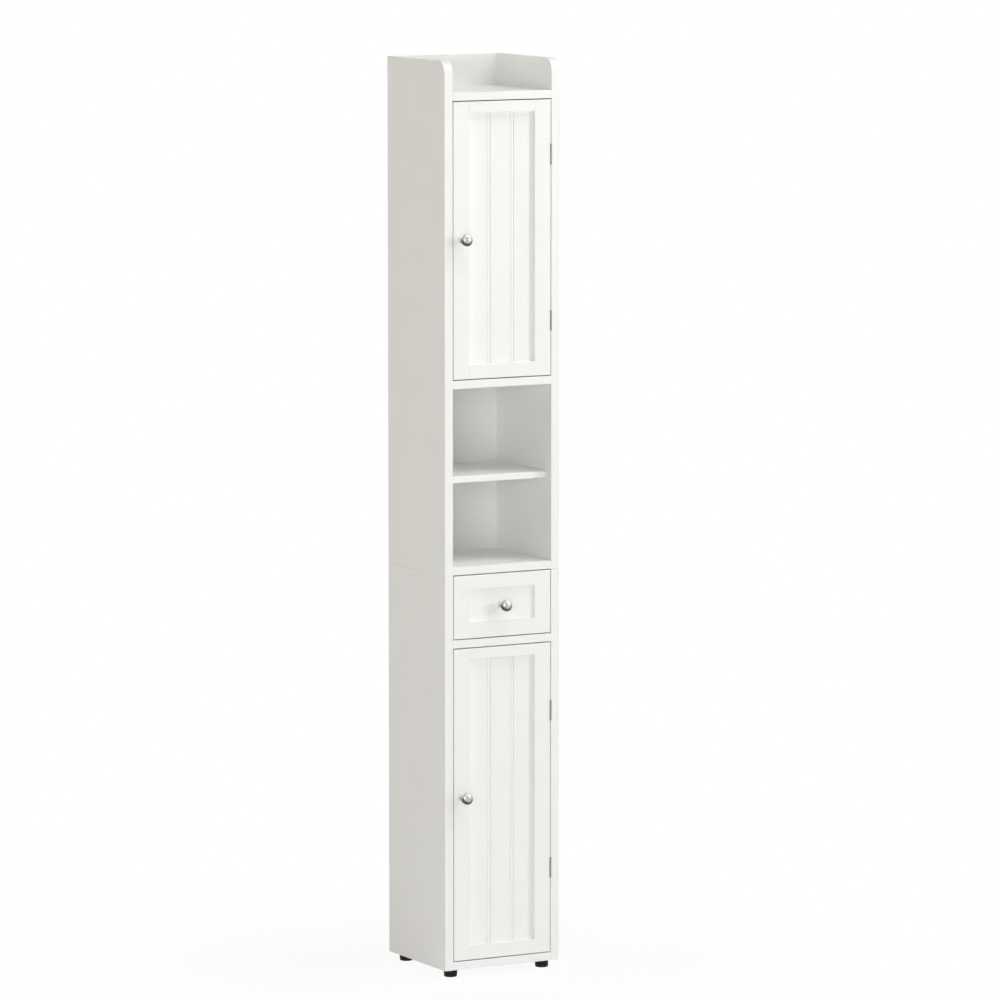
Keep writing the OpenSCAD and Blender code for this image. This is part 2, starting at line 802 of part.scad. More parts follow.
// Housing of a magnetic catch, with an ear above and below for its screws
module catch_housing(z) {
    difference() {
        translate([-in_x, catch_y, z]) {
            translate([0, 0, -catch_h / 2]) cube([catch_out, catch_d, catch_h]);
            translate([0, 0, -catch_h / 2 - catch_ear_h])
                cube([catch_ear_t, catch_d, catch_h + 2 * catch_ear_h]);
        }
        translate([catch_mid_x - magnet[0] / 2 - slip, catch_y - past, z - magnet[2] / 2 - slip])
            cube([magnet[0] + 2 * slip, magnet[1] + past, magnet[2] + 2 * slip]);
        screws(catch_screws(z), screw_len, fit);
    }
}

module catch_housings() {
    color(pale_plastic) set_in() for (z = [upper_catch_z, lower_catch_z]) catch_housing(z);
}

// Magnet between two pole plates that stand a little proud of it
module catch_magnets() {
    pole_t = 1.2;
    color(magnet_grey) set_in() for (z = [upper_catch_z, lower_catch_z])
        translate([catch_mid_x - magnet[0] / 2, catch_y, z - magnet[2] / 2]) {
            cube(magnet);
            for (x = [0, magnet[0] - pole_t])
                translate([x, -magnet_proud, 0]) cube([pole_t, magnet[1], magnet[2]]);
        }
}

module short_screws() {
    color(steel) set_in() screws(concat(
        leaf_screws(concat(upper_hinges, lower_hinges), frame_leaf_x, [0, 90, 0]),
        catch_screws(upper_catch_z), catch_screws(lower_catch_z),
        [for (s = [-1, 1], up = [-1, 1]) plate_screws(s, up)[0]],
        runner_screws(1), runner_screws(-1)));
}

// Strip that carries the drawer, screwed to the side board on the side that s gives
module drawer_runner(s) {
    difference() {
        mirror([s < 0 ? 1 : 0, 0, 0])
            translate([in_x - runner_out, runner_y, runner_mid_z - runner_h / 2])
                cube([runner_out, runner_len, runner_h]);
        screws(runner_screws(s), screw_len, fit);
    }
}

module drawer_runner_left() {
    color(pale_plastic) set_in() drawer_runner(-1);
}

module drawer_runner_right() {
    color(pale_plastic) set_in() drawer_runner(1);
}

// Upright frame member in plan, 0 to stile_w; the panel groove is in its right edge
module stile_plan() {
    difference() {
        eased_plan(stile_w, door_t);
        translate([stile_w - groove_d, panel_recess - slip])
            square([groove_d + past, panel_t + 2 * slip]);
    }
}

// Left-hand frame member, with the hole for the knob's screw
module stile_left(z, h, knob_up, screw_list) {
    difference() {
        upright(z, h) translate([-door_x, 0]) stile_plan();
        translate([knob_x, -past, z + knob_up]) rotate([-90, 0, 0])
            cylinder(r = knob_screw_r + slip, h = door_t + 2 * past);
        screws(screw_list, screw_len, fit);
    }
}

// Right-hand frame member, with the seats for the hinges
module stile_right(z, h, hinges, screw_list) {
    difference() {
        mirror([1, 0, 0]) upright(z, h) translate([-door_x, 0]) stile_plan();
        hinge_seats(hinges, door_x, -1);
        screws(screw_list, screw_len, fit);
    }
}

// Cross frame member at z, h high, between the uprights. Its panel groove is in the
// edge that up gives, 1 for the upper one, and a tenon at each end fills the
// uprights' groove beyond the panel.
module rail(z, h, up) {
    half = door_x - stile_w;
    tenon_z = up > 0 ? z : z + groove_d;
    difference() {
        union() {
            across(-half, 2 * half) translate([0, z]) eased_edge(door_t, h);
            translate([-half - panel_lap, panel_recess, tenon_z])
                cube([2 * (half + panel_lap), panel_t, h - groove_d]);
        }
        translate([-half - past, panel_recess - slip, up > 0 ? z + h - groove_d : z - past])
            cube([2 * (half + past), panel_t + 2 * slip, groove_d + past]);
    }
}

// Beaded panel in plan: two half-round beads, each between two narrow channels
module panel_plan() {
    w = field_w + 2 * panel_lap;
    difference() {
        translate([-w / 2, panel_recess]) square([w, panel_t]);
        for (s = [-1, 1]) translate([s * bead_offset, panel_recess]) difference() {
            translate([-bead_w / 2, -past]) square([bead_w, quirk_d + past]);
            intersection() {
                translate([0, bead_h_r]) circle(bead_h_r);
                translate([-bead_w / 2, 0]) square([bead_w, quirk_d + past]);
            }
        }
    }
}

module door_panel(z, h) {
    upright(z + rail_bottom_h - panel_lap, h - rail_bottom_h - rail_top_h + 2 * panel_lap)
        panel_plan();
}

// Half of a knob's section: axis along y, foot at y = 0, crown at knob_len. The head
// is drum-shaped, with round edges and a domed face.
module knob_half() {
    dome_z = knob_len - dome_r;
    square([rose_r, rose_t]);
    square([stem_r, rim_z]);
    translate([0, head_z]) square([rim_x, rim_z - head_z]);
    translate([0, head_z + rim_r]) square([knob_d / 2, rim_z - head_z - rim_r]);
    for (z = [head_z + rim_r, rim_z]) translate([rim_x, z]) circle(rim_r);
    difference() {
        translate([0, head_z - flare_r]) square([stem_r + flare_r, flare_r + slip]);
        translate([stem_r + flare_r, head_z - flare_r]) circle(flare_r);
    }
    intersection() {
        translate([0, dome_z]) circle(dome_r);
        polygon([[0, dome_z], [2 * rim_x, dome_z + 2 * (rim_z - dome_z)], [0, 2 * knob_len]]);
    }
}

// Knob that stands out from the plane at y towards the front
module knob(x, y, z) {
    translate([x, y, z]) rotate([90, 0, 0]) difference() {
        rotate_extrude() knob_half();
        translate([0, 0, -past])
            cylinder(r = knob_screw_r + fit, h = knob_screw_in + past + pilot_end);
    }
}

// Screw that holds a knob, from behind a front of thickness t whose face is at y
module knob_screw(x, y, z, t) {
    translate([x, y + t, z]) rotate([90, 0, 0]) cylinder(r = knob_screw_r, h = t + knob_screw_in);
    translate([x, y + t + knob_screw_head_h, z]) rotate([90, 0, 0])
        cylinder(r = knob_screw_head_r, h = knob_screw_head_h);
}

module strike(z) {
    difference() {
        translate([catch_mid_x - strike_w / 2, door_t, z - strike_h / 2])
            cube([strike_w, strike_t, strike_h]);
        screws(strike_screw(z), screw_len, fit);
    }
}

module upper_door_stile_left() {
    color(paint) set_in() stile_left(upper_door_z, upper_door_h, upper_knob_up, upper_door_screw_list);
}

module upper_door_stile_right() {
    color(paint) set_in() stile_right(upper_door_z, upper_door_h, upper_hinges, upper_door_screw_list);
}

module upper_door_rail_top() {
    color(paint) set_in() rail(upper_door_z + upper_door_h - rail_top_h, rail_top_h, 0);
}

module upper_door_rail_bottom() {
    color(paint) set_in() rail(upper_door_z, rail_bottom_h, 1);
}

module upper_door_panel() {
    color(paint) set_in() door_panel(upper_door_z, upper_door_h);
}

module upper_door_knob() {
    color(nickel) set_in() knob(knob_x, 0, upper_door_z + upper_knob_up);
}

module upper_door_knob_screw() {
    color(steel) set_in() knob_screw(knob_x, 0, upper_door_z + upper_knob_up, door_t);
}

module upper_door_hinge_leaves() {
    color(steel) set_in() for (z = upper_hinges) hinge_leaf(z, -1, 1);
}

module upper_door_screws() {
    color(steel) set_in() screws(upper_door_screw_list);
}

module upper_door_strike() {
    color(steel) set_in() strike(upper_catch_z);
}

module lower_door_stile_left() {
    color(paint) set_in() stile_left(lower_door_z, lower_door_h, lower_knob_up, lower_door_screw_list);
}

module lower_door_stile_right() {
    color(paint) set_in() stile_right(lower_door_z, lower_door_h, lower_hinges, lower_door_screw_list);
}

module lower_door_rail_top() {
    color(paint) set_in() rail(lower_door_z + lower_door_h - rail_top_h, rail_top_h, 0);
}

module lower_door_rail_bottom() {
    color(paint) set_in() rail(lower_door_z, rail_bottom_h, 1);
}

module lower_door_panel() {
    color(paint) set_in() door_panel(lower_door_z, lower_door_h);
}

module lower_door_knob() {
    color(nickel) set_in() knob(knob_x, 0, lower_door_z + lower_knob_up);
}

module lower_door_knob_screw() {
    color(steel) set_in() knob_screw(knob_x, 0, lower_door_z + lower_knob_up, door_t);
}

module lower_door_hinge_leaves() {
    color(steel) set_in() for (z = lower_hinges) hinge_leaf(z, -1, 1);
}

module lower_door_screws() {
    color(steel) set_in() screws(lower_door_screw_list);
}

module lower_door_strike() {
    color(steel) set_in() strike(lower_catch_z);
}

// Groove that holds the drawer bottom, in a piece that spans w by d from [x, y]
module bottom_groove(x, y, w, d) {
    translate([x, y, drawer_box_z + bottom_up - slip])
        cube([w, d, drawer_bottom_t + 2 * slip]);
}

// Places something at each cam lock of the drawer. The child's +X points to the
// front and its +Z out of the wall's inner face, so the cam goes in from there.
module at_drawer_cams() {
    for (s = [-1, 1], z = drawer_cam_zs)
        translate([s * drawer_in_x, door_t + drawer_cam_in, z])
            mirror([s < 0 ? 1 : 0, 0, 0]) rotate([0, 90, 0]) rotate([0, 0, -90]) children();
}

// Drawer front: one board with a sunk field on its face
module drawer_front() {
    field_h = drawer_front_h - field_top_in - field_bottom_in;
    color(paint) set_in() difference() {
        intersection() {
            across(-door_x, door_w) translate([0, drawer_front_z]) eased_edge(door_t, drawer_front_h);
            upright(drawer_front_z, drawer_front_h) translate([-door_x, 0]) eased_plan(door_w, door_t);
        }
        translate([-field_w / 2, -past, drawer_front_z + field_bottom_in])
            cube([field_w, past + field_recess, field_h]);
        translate([0, -past, drawer_knob_z]) rotate([-90, 0, 0])
            cylinder(r = knob_screw_r + slip, h = door_t + 2 * past);
        bottom_groove(-drawer_in_x - bottom_groove_d, door_t - bottom_groove_d,
                      2 * (drawer_in_x + bottom_groove_d), bottom_groove_d + past);
        at_drawer_cams() translate([drawer_cam_in - past, 0, drawer_wall_t / 2])
            rotate([0, 90, 0]) cylinder(r = bolt_thread_r + fit, h = bolt_thread_in + past);
    }
}

// Right-hand wall of the drawer: runner slot outside, bottom groove inside
module drawer_wall() {
    slot_z = runner_mid_z - runner_h / 2 - runner_slip;
    difference() {
        translate([drawer_in_x, door_t, drawer_box_z])
            cube([drawer_wall_t, drawer_len, drawer_box_h]);
        translate([drawer_out_x - runner_slot_d, runner_y - runner_rest, slot_z])
            cube([runner_slot_d + past, drawer_len, runner_h + runner_slip + runner_rest]);
        bottom_groove(drawer_in_x - past, door_t - past, past + bottom_groove_d,
                      drawer_len - drawer_wall_t + 2 * past + bottom_groove_d);
        at_drawer_cams() {
            translate([0, 0, -past]) cylinder(r = drawer_cam_r + fit, h = drawer_cam_h + past + slip);
            translate([0, 0, drawer_wall_t / 2]) rotate([0, 90, 0])
                cylinder(r = bolt_head_r + slip, h = drawer_cam_in + past);
        }
        screws(drawer_screw_list, drawer_screw_len, fit);
    }
}

module drawer_side_right() {
    color(inner_paint) set_in() drawer_wall();
}

module drawer_side_left() {
    color(inner_paint) set_in() mirror([1, 0, 0]) drawer_wall();
}

module drawer_back() {
    color(inner_paint) set_in() difference() {
        translate([-drawer_in_x, drawer_end_y - drawer_wall_t, drawer_box_z])
            cube([2 * drawer_in_x, drawer_wall_t, drawer_box_h]);
        bottom_groove(-drawer_in_x - past, drawer_end_y - drawer_wall_t - past,
                      2 * (drawer_in_x + past), past + bottom_groove_d);
        screws(drawer_screw_list, drawer_screw_len, fit);
    }
}

module drawer_bottom() {
    lap = bottom_groove_d - lap_room;
    color(inner_paint) set_in()
        translate([-drawer_in_x - lap, door_t - lap, drawer_box_z + bottom_up])
            cube([2 * (drawer_in_x + lap), drawer_len - drawer_wall_t + 2 * lap, drawer_bottom_t]);
}

module drawer_knob() {
    color(nickel) set_in() knob(0, field_recess, drawer_knob_z);
}

module drawer_knob_screw() {
    color(steel) set_in() knob_screw(0, field_recess, drawer_knob_z, door_t - field_recess);
}

module drawer_cams() {
    color(steel) set_in() at_drawer_cams()
        cam_lock(drawer_cam_r, drawer_cam_h, drawer_wall_t / 2, bolt_head_r, bolt_r);
}

module drawer_cam_bolts() {
    color(steel) set_in() at_drawer_cams() translate([-bolt_head_h, 0, drawer_wall_t / 2])
        cam_bolt(drawer_cam_in + bolt_head_h, bolt_thread_in - pilot_end,
                 bolt_head_r, bolt_r, bolt_thread_r);
}

module drawer_screws() {
    color(steel) set_in() screws(drawer_screw_list, drawer_screw_len);
}

upper_side_left();
upper_side_right();
top_panel();
upper_cupboard_floor();
niche_floor();
niche_shelf();
upper_cupboard_shelf();
upper_back_panel();
wall_rail();
lower_side_left();
lower_side_right();
drawer_divider();
base_panel();
lower_back_panel();
lower_cupboard_shelf();
shelf_pins();
dowels();
cam_locks();
cam_bolts();
joining_plates();
rear_bumpers();
feet();
foot_screws();
hinge_frame_leaves();
hinge_pins();
catch_housings();
catch_magnets();
short_screws();
drawer_runner_left();
drawer_runner_right();
upper_door_stile_left();
upper_door_stile_right();
upper_door_rail_top();
upper_door_rail_bottom();
upper_door_panel();
upper_door_knob();
upper_door_knob_screw();
upper_door_hinge_leaves();
upper_door_screws();
upper_door_strike();
lower_door_stile_left();
lower_door_stile_right();
lower_door_rail_top();
lower_door_rail_bottom();
lower_door_panel();
lower_door_knob();
lower_door_knob_screw();
lower_door_hinge_leaves();
lower_door_screws();
lower_door_strike();
drawer_front();
drawer_side_left();
drawer_side_right();
drawer_back();
drawer_bottom();
drawer_knob();
drawer_knob_screw();
drawer_cams();
drawer_cam_bolts();
drawer_screws();
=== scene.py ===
# A tall, narrow bathroom cabinet painted white, on a pale studio floor.
# Lengths are metres. X runs across the front, +Y to the rear, +Z up.
import bpy, bmesh, json, math
from mathutils import Matrix, Vector


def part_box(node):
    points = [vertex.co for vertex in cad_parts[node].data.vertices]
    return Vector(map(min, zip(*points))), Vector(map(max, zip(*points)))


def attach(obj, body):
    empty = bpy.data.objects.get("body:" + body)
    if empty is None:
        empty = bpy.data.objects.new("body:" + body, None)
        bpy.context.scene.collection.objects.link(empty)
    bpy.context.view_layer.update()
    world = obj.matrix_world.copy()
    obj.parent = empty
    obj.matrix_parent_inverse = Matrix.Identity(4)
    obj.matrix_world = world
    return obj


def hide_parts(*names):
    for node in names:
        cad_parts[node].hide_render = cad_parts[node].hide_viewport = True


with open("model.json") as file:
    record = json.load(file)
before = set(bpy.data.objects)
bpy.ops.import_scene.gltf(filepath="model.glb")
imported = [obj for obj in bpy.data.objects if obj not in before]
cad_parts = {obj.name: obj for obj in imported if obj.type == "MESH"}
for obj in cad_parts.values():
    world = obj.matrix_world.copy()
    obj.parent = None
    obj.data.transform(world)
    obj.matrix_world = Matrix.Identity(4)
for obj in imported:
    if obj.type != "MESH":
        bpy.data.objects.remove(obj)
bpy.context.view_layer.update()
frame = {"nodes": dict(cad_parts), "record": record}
mm = 0.001
cadWeld = 0.0005 * mm  # a CAD node's vertices are joined where they lie this close
blockWeld = 0.001 * mm  # and a drawn block's
scene = bpy.context.scene
scene.view_settings.view_transform = "Standard"
print("frame loaded:", len(frame["nodes"]), "nodes")


def srgb(hexCode):
    # a colour as it is written on screen, turned to the linear values that the shader takes
    parts = [int(hexCode[i:i + 2], 16) / 255 for i in (1, 3, 5)]
    return [c / 12.92 if c <= 0.04045 else ((c + 0.055) / 1.055) ** 2.4 for c in parts] + [1]


def addNode(tree, kind, settings=None, inputs=None):
    # settings are the node's own; an input gets a link if its value is another node's output
    node = tree.nodes.new(kind)
    for name, value in (settings or {}).items():
        setattr(node, name, value)
    for name, value in (inputs or {}).items():
        if isinstance(value, bpy.types.NodeSocket):
            tree.links.new(value, node.inputs[name])
        else:
            node.inputs[name].default_value = value
    return node


# The camera looks at the front from its left, a little from above, through a long lens.
cameraSetup = {
    "place": (-5.6661, -10.4312, 2.3619),
    "turnDegrees": 28.732,
    "dropDegrees": 6.882,
    "focalPixels": 6072.4,
    "pictureWidth": 1000,
    "sensorWidth": 36,
    "farthest": 200,
}


def makeCamera():
    data = bpy.data.cameras.new("camera")
    data.sensor_width = cameraSetup["sensorWidth"]
    data.lens = data.sensor_width * cameraSetup["focalPixels"] / cameraSetup["pictureWidth"]
    data.clip_end = cameraSetup["farthest"]
    camera = bpy.data.objects.new("camera", data)
    camera.location = cameraSetup["place"]
    camera.rotation_euler = (math.radians(90 - cameraSetup["dropDegrees"]), 0,
                             -math.radians(cameraSetup["turnDegrees"]))
    scene.collection.objects.link(camera)
    scene.camera = camera


makeCamera()
print("camera placed")


# Soft light: a broad lamp at the front left, a high one on the right, a smaller one lower at the
# front right that throws the knobs' shadows, one above, a warm one behind on the left that
# reaches the side but not the front, and one for the back.
studio = {
    "lamps": {
        "front": {"place": (-2.6, -4.5, 1.15), "size": (2.5, 3.0), "power": 98},
        "keyHigh": {"place": (2.6, -1.6, 4.6), "size": (2.5, 2.5), "power": 76},
        "keyLow": {"place": (3.0, -3.2, 2.0), "size": (1.0, 1.0), "power": 46},
        "above": {"place": (0.3, -2.0, 5.8), "size": (3.5, 3.5), "power": 75},
        "sideBack": {"place": (-3.4, 1.8, 2.6), "size": (3.0, 3.0), "power": 46,
                     "colour": (1, 0.92, 0.79)},
        "rear": {"place": (0.9, 4.6, 1.1), "size": (2.5, 2.5), "power": 88},
    },
    "lampColour": (1, 1, 1),
    "aim": (0, 0, 0.9),
    "white": (1, 1, 1, 1),
    "sky": 0.06,
    "floorRadius": 90,
    "floorSides": 64,
    "floorShade": "#F4F4F3",
    "shadowFrom": 0.3,
    "shadowTo": 0.9,
    "shadowShare": 0.07,
}


def makeLamp(name, setup):
    data = bpy.data.lights.new(name, "AREA")
    data.shape = "RECTANGLE"
    data.size, data.size_y = setup["size"]
    data.energy = setup["power"]
    data.color = setup.get("colour", studio["lampColour"])
    lamp = bpy.data.objects.new(name, data)
    lamp.location = setup["place"]
    towards = Vector(studio["aim"]) - Vector(setup["place"])
    lamp.rotation_euler = towards.to_track_quat("-Z", "Y").to_euler()
    scene.collection.objects.link(lamp)


def lookedAt(tree):
    # 1 where the camera, a reflection or glass looks at a thing, 0 where the thing gives light
    path = addNode(tree, "ShaderNodeLightPath")
    seen = path.outputs["Is Camera Ray"]
    for ray in ("Is Glossy Ray", "Is Transmission Ray"):
        seen = addNode(tree, "ShaderNodeMath", {"operation": "ADD", "use_clamp": True},
                       {0: seen, 1: path.outputs[ray]}).outputs[0]
    return seen


def makeSky():
    # white where it is looked at, and a plain low level where it gives light
    world = bpy.data.worlds.new("studioSky")
    scene.world = world
    world.use_nodes = True
    tree = world.node_tree
    tree.nodes.clear()
    light = addNode(tree, "ShaderNodeBackground", None,
                    {"Color": studio["white"], "Strength": studio["sky"]})
    white = addNode(tree, "ShaderNodeBackground", None,
                    {"Color": studio["white"], "Strength": 1})
    mixed = addNode(tree, "ShaderNodeMixShader", None,
                    {0: lookedAt(tree), 1: light.outputs[0], 2: white.outputs[0]})
    addNode(tree, "ShaderNodeOutputWorld", None, {"Surface": mixed.outputs[0]})


def makeFloor():
    # a round sheet of paper; near the cabinet it keeps a little of its shading, further out
    # it is white
    bm = bmesh.new()
    bmesh.ops.create_circle(bm, cap_ends=True, radius=studio["floorRadius"],
                            segments=studio["floorSides"])
    mesh = bpy.data.meshes.new("floor")
    bm.to_mesh(mesh)
    bm.free()
    floor = bpy.data.objects.new("floor", mesh)
    scene.collection.objects.link(floor)
    material = bpy.data.materials.new("mattStudioPaper")
    material.use_nodes = True
    tree = material.node_tree
    tree.nodes.clear()
    paper = addNode(tree, "ShaderNodeBsdfDiffuse", None, {"Color": srgb(studio["floorShade"])})
    white = addNode(tree, "ShaderNodeEmission", None, {"Color": studio["white"], "Strength": 1})
    place = addNode(tree, "ShaderNodeTexCoord")
    away = addNode(tree, "ShaderNodeVectorMath", {"operation": "LENGTH"},
                   {0: place.outputs["Object"]})
    fade = addNode(tree, "ShaderNodeMapRange", {"interpolation_type": "SMOOTHSTEP"},
                   {"Value": away.outputs["Value"], "From Min": studio["shadowFrom"],
                    "From Max": studio["shadowTo"], "To Min": 1 - studio["shadowShare"],
                    "To Max": 1})
    share = addNode(tree, "ShaderNodeMath", {"operation": "MULTIPLY"},
                    {0: fade.outputs[0], 1: lookedAt(tree)})
    mixed = addNode(tree, "ShaderNodeMixShader", None,
                    {0: share.outputs[0], 1: paper.outputs[0], 2: white.outputs[0]})
    addNode(tree, "ShaderNodeOutputMaterial", None, {"Surface": mixed.outputs[0]})
    mesh.materials.append(material)


for name, setup in studio["lamps"].items():
    makeLamp(name, setup)
makeSky()
makeFloor()
print("studio lit")


noiseSpan = (0.3, 0.7)  # nearly all of a noise's values lie between these


def startMaterial(name, look, metallic=0.0):
    # a new material with its shader, and a point's own place in metres
    material = bpy.data.materials.new(name)
    material.use_nodes = True
    tree = material.node_tree
    tree.nodes.clear()
    shader = addNode(tree, "ShaderNodeBsdfPrincipled", None,
                     {"Base Color": srgb(look["colour"]), "Roughness": look["roughness"][0],
                      "Metallic": metallic, "Specular IOR Level": look.get("specular", 0.5)})
    addNode(tree, "ShaderNodeOutputMaterial", None, {"Surface": shader.outputs[0]})
    place = addNode(tree, "ShaderNodeTexCoord").outputs["Object"]
    return material, tree, shader, place


def dress(tree, shader, look, tint, shine, shineSpan, bumps):
    # links a look's colour, its gloss and its fine relief to the shader
    tree.links.new(tint, shader.inputs["Base Color"])
    gloss = addNode(tree, "ShaderNodeMapRange", None,
                    {"Value": shine, "From Min": shineSpan[0], "From Max": shineSpan[1],
                     "To Min": look["roughness"][0], "To Max": look["roughness"][1]})
    tree.links.new(gloss.outputs[0], shader.inputs["Roughness"])
    relief = addNode(tree, "ShaderNodeBump", None,
                     {"Height": bumps, "Strength": 1, "Distance": look["reliefMm"] * mm})
    if "edgeMm" in look:
        soft = addNode(tree, "ShaderNodeBevel", {"samples": 4}, {"Radius": look["edgeMm"] * mm})
        tree.links.new(soft.outputs[0], relief.inputs["Normal"])
    tree.links.new(relief.outputs[0], shader.inputs["Normal"])


def plainMaterial(name, look, metallic=0.0):
    # a cloudy change of colour and gloss and a fine relief, each at a real size
    material, tree, shader, place = startMaterial(name, look, metallic)
    cloud = addNode(tree, "ShaderNodeTexNoise", None,
                    {"Vector": place, "Scale": 1 / (look["cloudMm"] * mm), "Detail": 3})
    tint = addNode(tree, "ShaderNodeMix", {"data_type": "RGBA"},
                   {0: cloud.outputs[0], 6: srgb(look["colour"]), 7: srgb(look["otherColour"])})
    fine = addNode(tree, "ShaderNodeTexNoise", None,
                   {"Vector": place, "Scale": 1 / (look["grainMm"] * mm), "Detail": 2})
    dress(tree, shader, look, tint.outputs[2], cloud.outputs[0], noiseSpan, fine.outputs[0])
    return material


# On the real pieces the grains of plastic, rubber, ferrite, metal and beech, and the knobs' rings,
# are finer than here. They are drawn as coarse as a close view needs to show them.
# Satin acrylic paint sprayed on fibreboard: even and soft, with a faint orange peel in its gloss.
boardPaint = {"colour": "#F8F8F6", "otherColour": "#F5F5F3", "roughness": (0.36, 0.46),
              "cloudMm": 90, "grainMm": 1.6, "reliefMm": 0.012, "edgeMm": 0.6}
# The same paint rolled thin on 3 mm hardboard: flatter, with a fine pebble.
sheetPaint = {"colour": "#F5F5F3", "otherColour": "#F1F1EF", "roughness": (0.5, 0.6),
              "cloudMm": 60, "grainMm": 1.1, "reliefMm": 0.02}
# Polypropylene moulded in a spark-eroded tool: near black, with a fine even grain. Its shine is
# turned down until the feet are as dark as in the photo.
footPlastic = {"colour": "#101113", "otherColour": "#151619", "roughness": (0.38, 0.5),
               "cloudMm": 12, "grainMm": 0.5, "reliefMm": 0.02, "specular": 0.18}
# ABS moulded in a polished tool: smooth, a little creamy.
housingPlastic = {"colour": "#ECEBE5", "otherColour": "#E6E5DF", "roughness": (0.3, 0.38),
                  "cloudMm": 20, "grainMm": 0.8, "reliefMm": 0.006}
# Thermoplastic rubber, moulded: milky and dull.
bumperRubber = {"colour": "#DDDDD8", "otherColour": "#D3D3CE", "roughness": (0.55, 0.68),
                "cloudMm": 6, "grainMm": 0.4, "reliefMm": 0.01}
# Sintered ferrite: almost black, matt, with a powdery surface.
ferrite = {"colour": "#3A3A3C", "otherColour": "#2F2F31", "roughness": (0.7, 0.85),
           "cloudMm": 5, "grainMm": 0.25, "reliefMm": 0.02}
# Steel stamped and nickel plated, bright but fogged by handling.
platedSteel = {"colour": "#96958F", "otherColour": "#83827C", "roughness": (0.3, 0.42),
               "cloudMm": 7, "grainMm": 0.4, "reliefMm": 0.003}
# Zinc alloy as it leaves the die: dull grey with a blotchy skin.
castZinc = {"colour": "#9B9C9D", "otherColour": "#8A8B8C", "roughness": (0.45, 0.6),
            "cloudMm": 4, "grainMm": 0.6, "reliefMm": 0.01}
# Nickel plate on zinc, brushed round and round: fine rings, a warm grey, soft highlights. Painted
# shade darkens the head round its sides and most underneath, standing in for darker reflections
# there; the face, the top and the stem keep the plain colour.
knobNickel = {"colour": "#C6C3BC", "otherColour": "#B7B4AC", "roughness": (0.24, 0.36),
              "shineSpan": (0.55, 1.05), "ringShare": 0.6, "ringMm": 0.35, "arcMm": 4,
              "cloudMm": 5, "reliefMm": 0.006, "paintedShadeColour": "#56544F", "paintedShadeFromMm": 5.5,
              "paintedShadeToMm": 12, "paintedShadeLean": -0.7, "stemColour": "#CFCCC5", "stemToMm": 33}
# Bare beech, turned and pressed: pale tan, fine grain along the dowel, short dark flecks.
dowelBeech = {"colour": "#D9B68C", "otherColour": "#C39C6E", "roughness": (0.55, 0.7),
              "grainMm": 0.5, "lengthMm": 9, "reliefMm": 0.03}


def brushedNickel(name, look):
    # the lathe attribute holds a point's way across and up from the knob's axis, and its way
    # along the profile from the screw hole, all in millimetres
    material, tree, shader, place = startMaterial(name, look, 1.0)
    turned = addNode(tree, "ShaderNodeAttribute", {"attribute_name": "lathe"}).outputs["Vector"]
    stretch = (1 / look["arcMm"], 1 / look["arcMm"], 1 / look["ringMm"])
    stretched = addNode(tree, "ShaderNodeMapping", None, {"Vector": turned, "Scale": stretch})
    rings = addNode(tree, "ShaderNodeTexNoise", None,
                    {"Vector": stretched.outputs[0], "Scale": 1, "Detail": 3, "Roughness": 0.6})
    cloud = addNode(tree, "ShaderNodeTexNoise", None,
                    {"Vector": place, "Scale": 1 / (look["cloudMm"] * mm), "Detail": 2})
    tint = addNode(tree, "ShaderNodeMix", {"data_type": "RGBA"},
                   {0: rings.outputs[0], 6: srgb(look["colour"]), 7: srgb(look["otherColour"])})
    flat = addNode(tree, "ShaderNodeVectorMath", {"operation": "MULTIPLY"},
                   {0: turned, 1: (1, 1, 0)})
    radius = addNode(tree, "ShaderNodeVectorMath", {"operation": "LENGTH"}, {0: flat.outputs[0]})
    parts = addNode(tree, "ShaderNodeSeparateXYZ", None, {0: turned})
    # painted shade: the colour darkens towards the head's rim and most at the bottom, standing in
    # for darker reflections
    shadeReach = addNode(tree, "ShaderNodeMath", {"operation": "MULTIPLY_ADD"},
                   {0: parts.outputs["Y"], 1: look["paintedShadeLean"], 2: radius.outputs["Value"]})
    paintedShadeMask = addNode(tree, "ShaderNodeMapRange", {"interpolation_type": "SMOOTHSTEP"},
                   {"Value": shadeReach.outputs[0], "From Min": look["paintedShadeFromMm"],
                    "From Max": look["paintedShadeToMm"], "To Min": 0, "To Max": 1})
    withPaintedShade = addNode(tree, "ShaderNodeMix", {"data_type": "RGBA"},
                     {0: paintedShadeMask.outputs[0], 6: tint.outputs[2], 7: srgb(look["paintedShadeColour"])})
    stem = addNode(tree, "ShaderNodeMath", {"operation": "LESS_THAN"},
                   {0: parts.outputs["Z"], 1: look["stemToMm"]})
    whole = addNode(tree, "ShaderNodeMix", {"data_type": "RGBA"},
                    {0: stem.outputs[0], 6: withPaintedShade.outputs[2], 7: srgb(look["stemColour"])})
    shine = addNode(tree, "ShaderNodeMath", {"operation": "MULTIPLY_ADD"},
                    {0: rings.outputs[0], 1: look["ringShare"], 2: cloud.outputs[0]})
    dress(tree, shader, look, whole.outputs[2], shine.outputs[0], look["shineSpan"],
          rings.outputs[0])
    return material


def turnedBeech(name, look):
    # the grain runs along X, as the dowels in the fixed boards do
    material, tree, shader, place = startMaterial(name, look)
    along, across = 1 / (look["lengthMm"] * mm), 1 / (look["grainMm"] * mm)
    stretched = addNode(tree, "ShaderNodeMapping", None,
                        {"Vector": place, "Scale": (along, across, across)})
    grain = addNode(tree, "ShaderNodeTexNoise", None,
                    {"Vector": stretched.outputs[0], "Scale": 1, "Detail": 4, "Roughness": 0.65})
    tint = addNode(tree, "ShaderNodeMix", {"data_type": "RGBA"},
                   {0: grain.outputs[0], 6: srgb(look["colour"]), 7: srgb(look["otherColour"])})
    dress(tree, shader, look, tint.outputs[2], grain.outputs[0], noiseSpan, grain.outputs[0])
    return material


